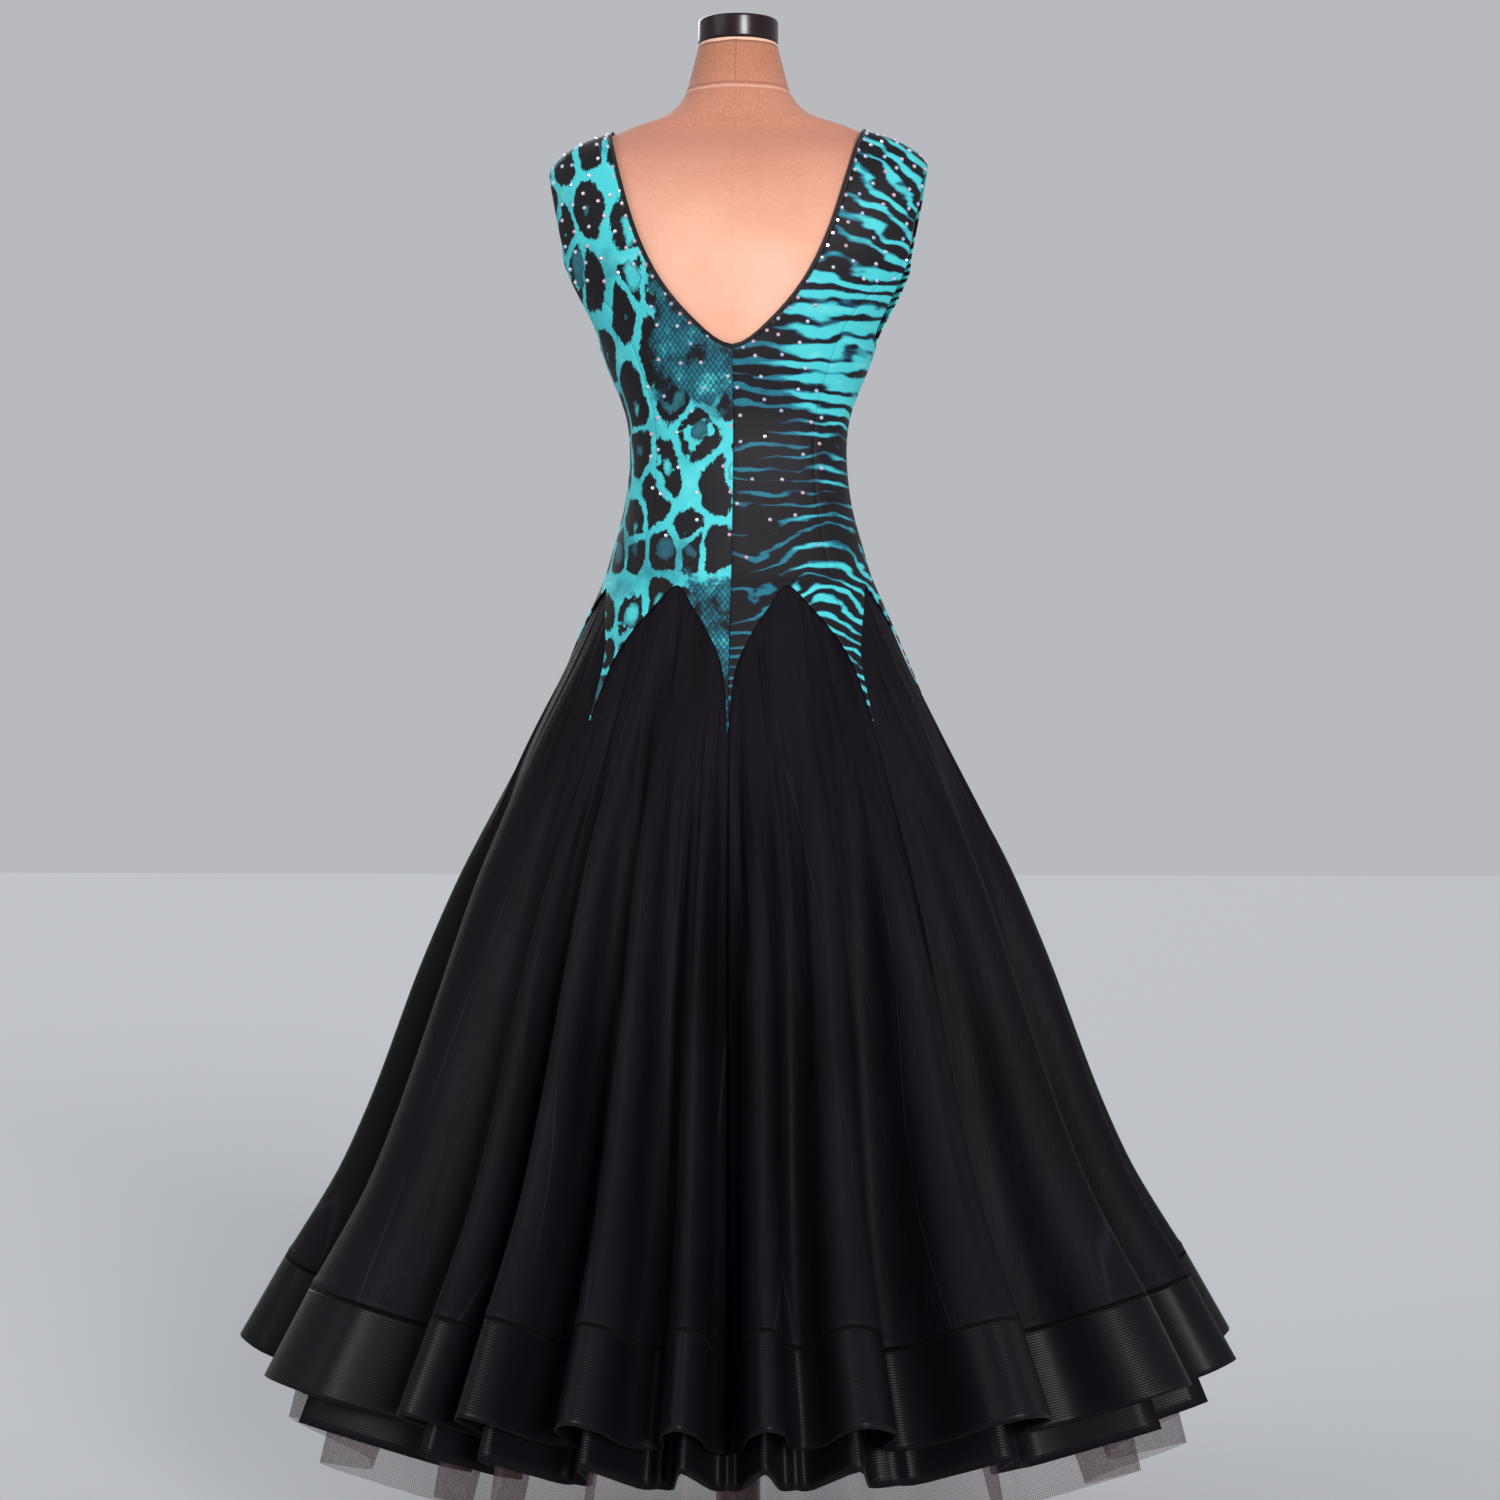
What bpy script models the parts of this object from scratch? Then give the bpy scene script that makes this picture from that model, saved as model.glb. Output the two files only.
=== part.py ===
"""A ballroom dance dress on a limbless dress form with a pole and a round foot.

Metres, +Z up. The origin is the middle of the foot's underside. The back of the dress faces -Y and
the wearer's right is +X. Angles run round the dress from its centre back towards the wearer's right.
"""
from collections import namedtuple
from math import asin, cos, pi, radians, sin, sqrt

import bpy
from mathutils import Vector

# ---------------------------------------------------------------- driving dimensions
SEAM = 0.0003                 # room left between pieces that are sewn together
SHOULDER_SEAM = 0.0009        # more room where the cloth folds over the shoulder
BODICE_CLOTH = 0.0012         # thickness of the printed stretch cloth, with its backing
ORGANZA = 0.0010
BRAID = 0.0012
NET = 0.0010
BINDING_WIDTH = 0.004
BINDING_WALL = 0.0018
BINDING_PROUD = 0.0005        # how far the binding stands above the bodice
LAP = 0.0030                  # the godets' tops lie this far under the bodice's face
LAYER = 0.0021                # pitch of the skirt's layers where they hang together at the hip
LOOSENING = 0.010             # how much further apart the layers hang towards the hem
LOOSE_SHARE = 0.5             # they are fully apart this far down the skirt

SECTORS = 8                   # gores of the bodice's lower edge, and of each skirt layer
SECTOR = 2 * pi / SECTORS
HIP = 1.107                   # height where the skirt takes over from the fitted bodice
PEAK = 1.096                  # top of the pointed arches in the bodice's lower edge
POINT_SHAPE = 0.36            # the smaller, the more slender the points are
POINT_STAND = 0.5             # the points lie halfway between the flutes' crests and troughs
GODET_TOP = 1.106             # the godets' tops, hidden just above the arches
GODET_DIP = 0.45              # and this share of the way down behind the points
SKIRT_FALL = 0.820            # straight length of cloth from the hip to the braid
BRAID_END = 1.12              # lower edge of each layer, as a share of the skirt's fall
UNDERSKIRT_END = 1.055
UNDERBRAID_END = 1.165
PETTICOAT_END = 1.215
ROUNDNESS = 0.8               # 0 waves gently; near 1 the flutes' sides stand straight out
UNDER_CREST = 0.78            # reach of the under layers' crests
UNDER_FOOT = 2 / 3            # and how far from crest to trough they spread

BUST_LINE = 1.335             # above it the panels run out to the neck and the armholes
PRINCESS = radians(46.5)      # princess seams at the bust line
PRINCESS_LOW = radians(45)    # and where they run into the points
SHOULDER_HEIGHTS = (1.550, 1.640)         # the tops of the shoulders lie between these
HAIR = 1e-5                   # a turn this small picks the front or the back side of the shoulder's top

NECK_TOP = 1.695
FORM_END = 0.968
FORM_SIDES = 28
FORM_EDGE = radians(50)       # the form's flat ends meet its sides at a sharp edge
CAP_RADIUS = 0.044
CAP_HEIGHT = 0.027
CAP_BEVEL = 0.004
CAP_ROUNDING = 0.3 * CAP_BEVEL
CAP_SIDES = 28
POLE_RADIUS = 0.0245
POLE_SIDES = 20
FOOT_RADIUS = 0.200
FOOT_HEIGHT = 0.034
FOOT_RIM = 0.012              # thickness of the foot's rim
FOOT_BEVEL = 0.006
FOOT_SIDES = 36
COLLAR_RADIUS = 0.042         # the foot rises to a collar round the pole
COLLAR_FOOT_RADIUS = 0.063
COLLAR_FOOT_HEIGHT = 0.019

SECTOR_NAMES = (
    "back_right", "side_back_right", "side_front_right", "front_right",
    "front_left", "side_front_left", "side_back_left", "back_left",
)

# Level sections of the dressed figure, from hip to neck: half its width, and its reach to back and front.
Section = namedtuple("Section", "height half_width back front")
FIGURE = (
    Section(0.960, 0.148, 0.110, 0.094),
    Section(1.000, 0.157, 0.119, 0.099),
    Section(1.050, 0.157, 0.120, 0.100),
    Section(1.107, 0.148, 0.113, 0.097),
    Section(1.145, 0.1365, 0.103, 0.092),
    Section(1.195, 0.1238, 0.091, 0.087),
    Section(1.250, 0.1192, 0.083, 0.084),
    Section(1.283, 0.1226, 0.085, 0.090),
    Section(1.310, 0.1325, 0.091, 0.102),
    Section(1.338, 0.1435, 0.097, 0.118),
    Section(1.365, 0.154, 0.102, 0.132),
    Section(1.404, 0.178, 0.108, 0.140),
    Section(1.432, 0.194, 0.111, 0.137),
    Section(1.460, 0.204, 0.113, 0.128),
    Section(1.500, 0.211, 0.112, 0.111),
    Section(1.540, 0.214, 0.102, 0.092),
    Section(1.560, 0.2085, 0.093, 0.081),
    Section(1.572, 0.200, 0.085, 0.073),
    Section(1.582, 0.186, 0.077, 0.065),
    Section(1.590, 0.168, 0.069, 0.058),
    Section(1.597, 0.148, 0.063, 0.053),
    Section(1.602, 0.128, 0.060, 0.051),
    Section(1.613, 0.089, 0.057, 0.049),
    Section(1.624, 0.0705, 0.055, 0.048),
    Section(1.640, 0.058, 0.053, 0.048),
    Section(1.660, 0.052, 0.050, 0.048),
    Section(1.695, 0.0430, 0.0430, 0.0430),
)

# How far inside the dressed figure the bare dress form lies, at its back, sides and front. Its shoulders
# end a little inside the straps' outer edges.
Inside = namedtuple("Inside", "height back side front")
FORM_INSIDE = (
    Inside(0.960, 0.0100, 0.0100, 0.0100),
    Inside(1.130, 0.0100, 0.0100, 0.0100),
    Inside(1.200, 0.0030, 0.0035, 0.0040),
    Inside(1.330, 0.0035, 0.0050, 0.0065),
    Inside(1.365, 0.0039, 0.0085, 0.0066),
    Inside(1.404, 0.0043, 0.0150, 0.0067),
    Inside(1.432, 0.0045, 0.0165, 0.0068),
    Inside(1.460, 0.0048, 0.0175, 0.0069),
    Inside(1.500, 0.0050, 0.0165, 0.0070),
    Inside(1.540, 0.0052, 0.0115, 0.0065),
    Inside(1.560, 0.0053, 0.0085, 0.0062),
    Inside(1.592, 0.0055, 0.0058, 0.0060),
    Inside(1.599, 0.0040, 0.0040, 0.0040),
    Inside(1.606, 0.0005, 0.0005, 0.0005),
    Inside(1.695, 0.0000, 0.0000, 0.0000),
)
FORM_SIDE_REACH = 4           # power of the sine that keeps the sides' gap to the sides

# Sections of the skirt by their share of its fall: half width and reach to back and front at the flutes'
# crests, the depth of the flutes, and how far the arches puff out between the points.
Fall = namedtuple("Fall", "share half_width back front flute puff")
SKIRT = (
    Fall(0.00, 0.148, 0.113, 0.097, 0.000, 0.000),
    Fall(0.10, 0.183, 0.144, 0.127, 0.000, 0.0015),
    Fall(0.18, 0.212, 0.171, 0.154, 0.000, 0.005),
    Fall(0.25, 0.239, 0.197, 0.179, 0.004, 0.008),
    Fall(0.40, 0.298, 0.262, 0.244, 0.028, 0.005),
    Fall(0.55, 0.346, 0.314, 0.296, 0.049, 0.000),
    Fall(0.70, 0.387, 0.360, 0.342, 0.069, 0.000),
    Fall(0.85, 0.433, 0.410, 0.392, 0.092, 0.000),
    Fall(1.00, 0.500, 0.482, 0.464, 0.116, 0.000),
    Fall(1.12, 0.551, 0.535, 0.516, 0.130, 0.000),
    Fall(1.25, 0.577, 0.563, 0.544, 0.138, 0.000),
)

# The flutes at the hem, godet by godet: the angles of each crest and of the trough after it, in degrees,
# how far out the crest reaches and how far in the trough dips, as shares, and the facets of half a flute.
Flute = namedtuple("Flute", "godet crest trough reach dip facets")
FLUTES = (
    Flute(0, 6.5, 11.5, 0.92, 0.70, 3),
    Flute(0, 16.5, 26.0, 1.00, 1.00, 3),
    Flute(0, 34.5, 47.0, 0.97, 0.90, 3),
    Flute(1, 59.5, 70.0, 1.00, 0.80, 3),
    Flute(1, 78.5, 88.0, 0.98, 0.90, 3),
    Flute(2, 98.0, 109.0, 1.00, 0.85, 3),
    Flute(2, 121.0, 133.0, 0.96, 1.00, 3),
    Flute(3, 141.0, 149.0, 1.00, 0.80, 3),
    Flute(3, 158.0, 165.0, 0.93, 0.75, 3),
    Flute(3, 172.0, 179.0, 1.00, 1.00, 3),
    Flute(4, 187.0, 195.0, 0.95, 0.80, 3),
    Flute(4, 203.0, 211.0, 1.00, 0.90, 3),
    Flute(4, 219.0, 227.0, 0.94, 1.00, 3),
    Flute(5, 236.0, 245.0, 1.00, 0.80, 3),
    Flute(5, 254.5, 264.0, 0.95, 0.90, 3),
    Flute(6, 273.5, 284.0, 1.00, 0.85, 3),
    Flute(6, 302.5, 320.5, 0.97, 0.90, 4),
    Flute(7, 325.5, 330.0, 0.90, 0.80, 3),
    Flute(7, 334.5, 340.5, 1.00, 0.90, 3),
    Flute(7, 346.5, 352.5, 1.00, 0.80, 3),
    Flute(7, 357.5, 362.0, 0.93, 1.00, 3),
)

# Heights of the tips of the bodice's eight points, from the centre back round by the wearer's right.
POINT_TIPS = (0.936, 0.951, 0.956, 0.948, 0.940, 0.952, 0.958, 0.974)

# Columns of cloth across a gore: even at the bust line, crowded towards the points at the lower edge.
COLUMN_SHARES = (0.0, 0.04, 0.15, 0.32, 0.5, 0.68, 0.85, 0.96, 1.0)

# Rows of the back and front panels above the bust line, from the shoulder down, as seen from straight
# behind or in front: the place of the neck edge and of the armhole's edge, and how far the row crowns
# between them. Below the armhole's notch a row ends on the princess seam, this share of the way up it.
Strap = namedtuple("Strap", "neck neck_height arm arm_height crown")
BACK_STRAP = (
    Strap(0.1415, 1.5945, 0.2080, 1.5600, 0.0098),
    Strap(0.1405, 1.5905, 0.2070, 1.5520, 0.0090),
    Strap(0.1385, 1.5830, 0.2050, 1.5410, 0.0075),
    Strap(0.1340, 1.5660, 0.2015, 1.5230, 0.0040),
    Strap(0.1235, 1.5270, 0.1960, 1.4970, 0.0),
    Strap(0.1060, 1.4720, 0.1900, 1.4670, 0.0),
)
FRONT_STRAP = (
    Strap(0.1415, 1.5945, 0.2080, 1.5600, 0.0098),
    Strap(0.1405, 1.5905, 0.2070, 1.5520, 0.0090),
    Strap(0.1375, 1.5820, 0.2050, 1.5410, 0.0075),
    Strap(0.1310, 1.5680, 0.2015, 1.5230, 0.0040),
    Strap(0.1180, 1.5430, 0.1960, 1.4970, 0.0),
    Strap(0.0960, 1.5080, 0.1900, 1.4670, 0.0),
)
Seam = namedtuple("Seam", "centre centre_height princess_share")
BACK_YOKE = (
    Seam(0.0800, 1.4205, 1.0),
    Seam(0.0420, 1.3755, 0.62),
    Seam(0.0000, 1.3490, 0.28),
)
FRONT_YOKE = (
    Seam(0.0600, 1.4740, 1.0),
    Seam(0.0000, 1.4520, 0.62),
    Seam(0.0000, 1.3900, 0.28),
)
FRONT_NECK_ROWS = 8           # rows of the front panel that end on the neck edge; all of the back's do

# The armhole below the princess seams' ends, column by column: angle from the centre line, and height.
Armhole = namedtuple("Armhole", "angle height")
ARMHOLE = (
    Armhole(68.8, 1.441),
    Armhole(68.5, 1.427),
    Armhole(69.0, 1.412),
    Armhole(69.5, 1.398),
    Armhole(71.0, 1.385),
    Armhole(73.5, 1.374),
    Armhole(77.5, 1.366),
    Armhole(83.0, 1.361),
    Armhole(90.0, 1.359),
)
PRINCESS_BEND = Armhole(47.5, 1.425)      # the princess seams turn here towards the armholes

WAIST_ROWS = (BUST_LINE, 1.290, 1.245, 1.190, 1.145, HIP)
POINT_ROWS = (0.5, 1.0)       # shares of the way on down to the lower edge
GODET_ROWS = (0.0, 0.12, 0.26, 0.42, 0.58, 0.73, 0.87, 1.0)
UNDER_ROWS = (0.035, 0.30, 0.55, 0.78, 0.93)      # shares of the skirt's fall, down to the layer's end

FORM_HEIGHTS = (FORM_END, 1.000, 1.050) + tuple(reversed(WAIST_ROWS)) + (
    1.365, 1.404, 1.435, 1.465, 1.500, 1.540, 1.562, 1.576, 1.586, 1.5935,
    1.600, 1.606, 1.613, 1.624, 1.640, 1.660, 1.680, NECK_TOP,
)


# ---------------------------------------------------------------- scene and materials
def empty_scene():
    for old in list(bpy.data.objects):
        bpy.data.objects.remove(old, do_unlink=True)
    collection = bpy.data.collections.new("ballroom_dress_on_form")
    bpy.context.scene.collection.children.link(collection)
    return collection


def finish(name, colour, roughness, metallic=0.0):
    material = bpy.data.materials.new(name)
    material.use_nodes = True
    shader = material.node_tree.nodes["Principled BSDF"]
    shader.inputs["Base Color"].default_value = (*colour, 1.0)
    shader.inputs["Roughness"].default_value = roughness
    shader.inputs["Metallic"].default_value = metallic
    return material


def add_object(name, mesh, material):
    piece = bpy.data.objects.new(name, mesh)
    mesh.materials.append(material)
    PARTS.objects.link(piece)
    return piece


# ---------------------------------------------------------------- reading the tables
def read(table, where):
    """The table's row at this height or share, on a smooth curve through its rows."""
    last = len(table) - 1
    low = 0
    while low < last - 1 and where > table[low + 1][0]:
        low += 1
    before, after = table[low], table[low + 1]
    span = after[0] - before[0]
    t = min(1.0, max(0.0, (where - before[0]) / span))
    earlier = table[max(0, low - 1)]
    later = table[min(last, low + 2)]
    values = []
    for k in range(1, len(before)):
        slope_in = (after[k] - earlier[k]) / (after[0] - earlier[0]) * span
        slope_out = (later[k] - before[k]) / (later[0] - before[0]) * span
        values.append(
            (2 * t**3 - 3 * t**2 + 1) * before[k] + (t**3 - 2 * t**2 + t) * slope_in
            + (3 * t**2 - 2 * t**3) * after[k] + (t**3 - t**2) * slope_out
        )
    return type(before)(where, *values)


def mix(a, b, t):
    return a + (b - a) * t


# ---------------------------------------------------------------- the dressed figure
def on_section(section, angle):
    reach = section.back if cos(angle) > 0 else section.front
    return Vector((section.half_width * sin(angle), -reach * cos(angle), 0))


def figure_point(angle, height, out=0.0):
    """A point on the dressed figure, or moved out from it square to its surface."""
    def at(turn, rise):
        spot = on_section(read(FIGURE, height + rise), angle + turn)
        spot.z = height + rise
        return spot

    step = 0.001
    across = at(step, 0) - at(-step, 0)
    up = at(0, step) - at(0, -step)
    return at(0, 0) + across.cross(up).normalized() * out


def angle_across(across, height):
    """The angle where the figure's section at this height is this far from the centre line."""
    return asin(min(1.0, across / read(FIGURE, height).half_width))


def ridge_height(across):
    """Height of the top of the shoulder, this far from the centre line."""
    low, high = SHOULDER_HEIGHTS
    while high - low > HAIR:
        middle = (low + high) / 2
        if read(FIGURE, middle).half_width > across:
            low = middle
        else:
            high = middle
    return low


# ---------------------------------------------------------------- the skirt's shape
Column = namedtuple("Column", "top_angle hem_angle stand")


def skirt_point(column, share, inside=0.0):
    """A point this share of the way down a column; stand is 1 on a flute's crest and 0 in a trough."""
    def reach(part):
        angle = mix(column.top_angle, column.hem_angle, min(1.0, part))
        outward = Vector((sin(angle), -cos(angle), 0))
        section = read(SKIRT, part)
        puff = -section.puff * cos(SECTORS * angle)
        inward = section.flute * (1 - column.stand) + inside
        return on_section(section, angle) + outward * (puff - inward)

    run = reach(1.0).length - reach(0.0).length
    spot = reach(share)
    spot.z = HIP - share * sqrt(SKIRT_FALL**2 - run**2)
    return spot


def share_at(column, height):
    lowest = skirt_point(column, 1.0).z
    return (HIP - height) / (HIP - lowest)


def flute_columns(godet, phases):
    """Angle, stand and phase of the columns across a godet; phases gives a flute's steps to its trough."""
    flutes = [flute for flute in FLUTES if flute.godet == godet]
    before = FLUTES[FLUTES.index(flutes[0]) - 1]
    spots = []
    for flute in flutes:
        trough = before.trough if before.trough < flute.crest else before.trough - 360
        for side, (end, dip) in enumerate(((trough, before.dip), (flute.trough, flute.dip))):
            shares = sorted(phases(flute), reverse=side == 0)
            for share in shares[1:] if spots else shares:
                bent = share + ROUNDNESS * sin(2 * pi * share) / (2 * pi)
                stand = mix(flute.reach, 1 - dip, (1 - cos(pi * share)) / 2)
                spots.append((radians(mix(flute.crest, end, bent)), stand, share))
        before = flute
    return spots


def godet_columns(godet):
    spots = flute_columns(godet, lambda flute: [k / flute.facets for k in range(flute.facets + 1)])
    steps = len(spots) - 1
    return [Column(SECTOR * (godet + k / steps), spot[0], spot[1]) for k, spot in enumerate(spots)]


def under_columns(godet):
    """Columns of the layers below: they rise only inside the godets' crests, so they never meet them."""
    spots = flute_columns(godet, lambda flute: [0.0, UNDER_FOOT, 1.0])
    steps = len(spots) - 1
    columns = []
    for k, (angle, stand, share) in enumerate(spots):
        rise = stand * UNDER_CREST if share == 0 else 0.0
        columns.append(Column(SECTOR * (godet + k / steps), angle, rise))
    return columns


# ---------------------------------------------------------------- the bodice's lower edge
def nearest_point(angle):
    """Height of the tip of the point nearest to this angle, and how near it is: 1 at it, 0 at an arch."""
    turns = angle / SECTOR
    nearest = round(turns)
    return POINT_TIPS[nearest % SECTORS], 1 - min(1.0, abs(turns - nearest) * 2)


def point_edge(angle):
    """Height of the bodice's zigzag edge at this angle."""
    tip, nearness = nearest_point(angle)
    return tip + (PEAK - tip) * (1 - nearness) ** POINT_SHAPE


def godet_edge(angle):
    """Height of a godet's top: it follows the arch, and laps under the points on each side of it."""
    tip, nearness = nearest_point(angle)
    return GODET_TOP - (PEAK - tip) * GODET_DIP * nearness**3


def lower_point(angle, height):
    """A point of the bodice below the hip, where it lies on the tops of the godets."""
    column = Column(angle, angle, POINT_STAND)
    return skirt_point(column, share_at(column, height))


# ---------------------------------------------------------------- sheets of cloth
def drawn_in(rows, amount, top_amount):
    """The same grid of points with its borders moved in, which leaves room at the seams."""
    def inward(spot, inner, before, after):
        along = (after - before).normalized()
        away = inner - spot
        away -= along * away.dot(along)
        return away.normalized()

    down, over = len(rows) - 1, len(rows[0]) - 1
    eased = [[spot.copy() for spot in row] for row in rows]
    for i in range(down + 1):
        above, below = rows[max(0, i - 1)], rows[min(down, i + 1)]
        eased[i][0] += inward(rows[i][0], rows[i][1], above[0], below[0]) * amount
        eased[i][over] += inward(rows[i][over], rows[i][over - 1], above[over], below[over]) * amount
    for j in range(over + 1):
        left, right = max(0, j - 1), min(over, j + 1)
        for i, inner, room in ((0, 1, top_amount), (down, down - 1, amount)):
            eased[i][j] += inward(rows[i][j], rows[inner][j], rows[i][left], rows[i][right]) * room
    return eased


def mirrored(rows):
    return [[Vector((-spot.x, spot.y, spot.z)) for spot in reversed(row)] for row in rows]


def cloth(name, rows, wall, material, ring=False, top_seam=SEAM, on_fold=False):
    """A sheet lofted through rows of its outer points, top to bottom and left to right, given its wall.

    A ring closes on itself. A piece cut on the fold is given as its half, and then mirrored."""
    if not ring:
        eased = drawn_in(rows, SEAM / 2, top_seam / 2)
        for row, eased_row in zip(rows, eased):
            for spot, moved in zip(row, eased_row):
                if on_fold and abs(spot.x) < SEAM / 2:
                    moved.x = 0.0
        rows = eased
    wide = len(rows[0])
    spots = [tuple(spot) for row in rows for spot in row]
    faces = []
    for i in range(len(rows) - 1):
        for j in range(wide if ring else wide - 1):
            right = (j + 1) % wide
            faces.append((i * wide + j, (i + 1) * wide + j, (i + 1) * wide + right, i * wide + right))
    mesh = bpy.data.meshes.new(name)
    mesh.from_pydata(spots, [], faces)
    mesh.shade_smooth()
    piece = add_object(name, mesh, material)
    if on_fold:
        mirror = piece.modifiers.new("other half", "MIRROR")
        mirror.merge_threshold = 0.0001
    solidify = piece.modifiers.new("wall", "SOLIDIFY")
    solidify.thickness = wall
    solidify.offset = -1
    solidify.use_quality_normals = True
    return piece


# ---------------------------------------------------------------- bodice
def princess_seam(share):
    """Angle and height of the princess seam above the bust line: it runs up, then out to the armhole."""
    end = ARMHOLE[0]
    low, bend, high = (1 - share) ** 2, 2 * share * (1 - share), share**2
    angle = low * PRINCESS + bend * radians(PRINCESS_BEND.angle) + high * radians(end.angle)
    return angle, low * BUST_LINE + bend * PRINCESS_BEND.height + high * end.height


def seen_point(across, height, front, out=0.0):
    """The point of the figure seen at this place from straight behind, or from straight in front."""
    angle = angle_across(across, height)
    return figure_point(pi - angle if front else angle, height, out)


def shoulder_point(across, front, out=0.0):
    return figure_point(pi / 2 + (HAIR if front else -HAIR), ridge_height(across), out)


def centre_rows(strap, yoke, front):
    """Rows of a half panel from the shoulder to the bust line, each from neck or centre to arm or seam."""
    last = len(COLUMN_SHARES) - 1
    rows = []
    for number, line in enumerate(strap):
        row = []
        for j in range(last + 1):
            u = j / last
            across = mix(line.neck, line.arm, u)
            height = mix(line.neck_height, line.arm_height, u) + line.crown * 4 * u * (1 - u)
            if number == 0:
                row.append(shoulder_point(across, front))
            else:
                row.append(seen_point(across, height, front))
        rows.append(row)
    for line in yoke:
        angle, seam_height = princess_seam(line.princess_share)
        seam = read(FIGURE, seam_height).half_width * sin(angle)
        row = []
        for j in range(last + 1):
            u = j / last
            height = mix(line.centre_height, seam_height, u)
            row.append(seen_point(mix(line.centre, seam, u), height, front))
        rows.append(row)
    return rows


def side_rows(yoke, front):
    """Rows of the panel from the princess seam to the side seam, above the bust line."""
    last = len(ARMHOLE) - 1
    rows = []
    for line in yoke:
        share = line.princess_share
        seam_angle, seam_height = princess_seam(share)
        bulge_angle = seam_angle - mix(PRINCESS, radians(ARMHOLE[0].angle), share)
        bulge_height = seam_height - mix(BUST_LINE, ARMHOLE[0].height, share)
        row = []
        for j, top in enumerate(ARMHOLE):
            pull = (1 - j / last) ** 2
            angle = mix(mix(PRINCESS, pi / 2, j / last), radians(top.angle), share) + bulge_angle * pull
            height = mix(BUST_LINE, top.height, share) + bulge_height * pull
            row.append(figure_point(pi - angle if front else angle, height))
        rows.append(row)
    return rows


def lower_rows(sector):
    """Rows of a gore on the wearer's right, from the bust line down to its two half points."""
    seams = (0.0, PRINCESS, pi / 2, pi - PRINCESS, pi)
    low_seams = (0.0, PRINCESS_LOW, pi / 2, pi - PRINCESS_LOW, pi)
    last = len(COLUMN_SHARES) - 1

    def column_angle(j, low):
        even = mix(seams[sector], seams[sector + 1], j / last)
        crowded = mix(low_seams[sector], low_seams[sector + 1], COLUMN_SHARES[j])
        return mix(even, crowded, low)

    rows = []
    for height in WAIST_ROWS:
        low = (BUST_LINE - height) / (BUST_LINE - WAIST_ROWS[-1])
        rows.append([figure_point(column_angle(j, low), height) for j in range(last + 1)])
    for share in POINT_ROWS:
        row = []
        for j in range(last + 1):
            angle = column_angle(j, 1.0)
            height = mix(WAIST_ROWS[-1], point_edge(angle), share)
            row.append(lower_point(angle, height))
        rows.append(row)
    return rows


def flipped(rows):
    return [list(reversed(row)) for row in rows]


def bodice():
    striped = finish("striped_stretch_cloth", (0.045, 0.30, 0.32), 0.55)
    spotted = finish("spotted_stretch_cloth", (0.055, 0.40, 0.42), 0.55)
    back = centre_rows(BACK_STRAP, BACK_YOKE, front=False) + lower_rows(0)
    side_back = side_rows(BACK_YOKE, front=False) + lower_rows(1)
    side_front = flipped(side_rows(FRONT_YOKE, front=True)) + lower_rows(2)
    front = flipped(centre_rows(FRONT_STRAP, FRONT_YOKE, front=True)) + lower_rows(3)
    sides = (("right", lambda rows: rows, striped), ("left", mirrored, spotted))
    for side, placed, material in sides:
        cloth("bodice_back_" + side, placed(back), BODICE_CLOTH, material, top_seam=SHOULDER_SEAM)
        cloth("bodice_side_back_" + side, placed(side_back), BODICE_CLOTH, material)
        cloth("bodice_side_front_" + side, placed(side_front), BODICE_CLOTH, material)
    cloth("bodice_front", front, BODICE_CLOTH, striped, top_seam=SHOULDER_SEAM, on_fold=True)


def neck_binding():
    """A narrow band that carries the bodice on to the edge of the neck opening, all round it."""
    def band(strap, yoke, front):
        edge = [(line.neck, line.neck_height) for line in strap]
        edge += [(line.centre, line.centre_height) for line in yoke]
        if front:
            edge = edge[:FRONT_NECK_ROWS]
        lower, upper = [], []
        for j, (across, height) in enumerate(edge):
            above, below = edge[max(0, j - 1)], edge[min(len(edge) - 1, j + 1)]
            along = Vector((above[0] - below[0], above[1] - below[1])).normalized()
            if across == 0:
                along = Vector((1, 0))
            for row, away in ((lower, SEAM), (upper, SEAM + BINDING_WIDTH)):
                if j == 0:
                    row.append(shoulder_point(across - away, front, BINDING_PROUD))
                else:
                    spot = (max(0.0, across - along.y * away), height + along.x * away)
                    row.append(seen_point(*spot, front, BINDING_PROUD))
        return reversed(upper), reversed(lower)

    back = band(BACK_STRAP, BACK_YOKE, front=False)
    front = band(FRONT_STRAP, FRONT_YOKE, front=True)
    rows = []
    for behind, before in zip(back, front):
        right = list(behind) + list(reversed(list(before)))[1:]
        left = [Vector((-spot.x, spot.y, spot.z)) for spot in reversed(right)]
        rows.append(right + left[1:-1])
    satin = finish("binding_satin", (0.008, 0.008, 0.010), 0.4)
    cloth("neck_binding", rows, BINDING_WALL, satin, ring=True)


# ---------------------------------------------------------------- skirt layers
def layer(prefix, columns_of, shares_of, inside_of, wall, material):
    """The eight gores of one layer: shares_of gives a column's rows, inside_of how deep they hang."""
    for sector, position in enumerate(SECTOR_NAMES):
        columns = []
        for column in columns_of(sector):
            shares = shares_of(column)
            columns.append([skirt_point(column, share, inside_of(share)) for share in shares])
        cloth(prefix + position, list(zip(*columns)), wall, material)


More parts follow.
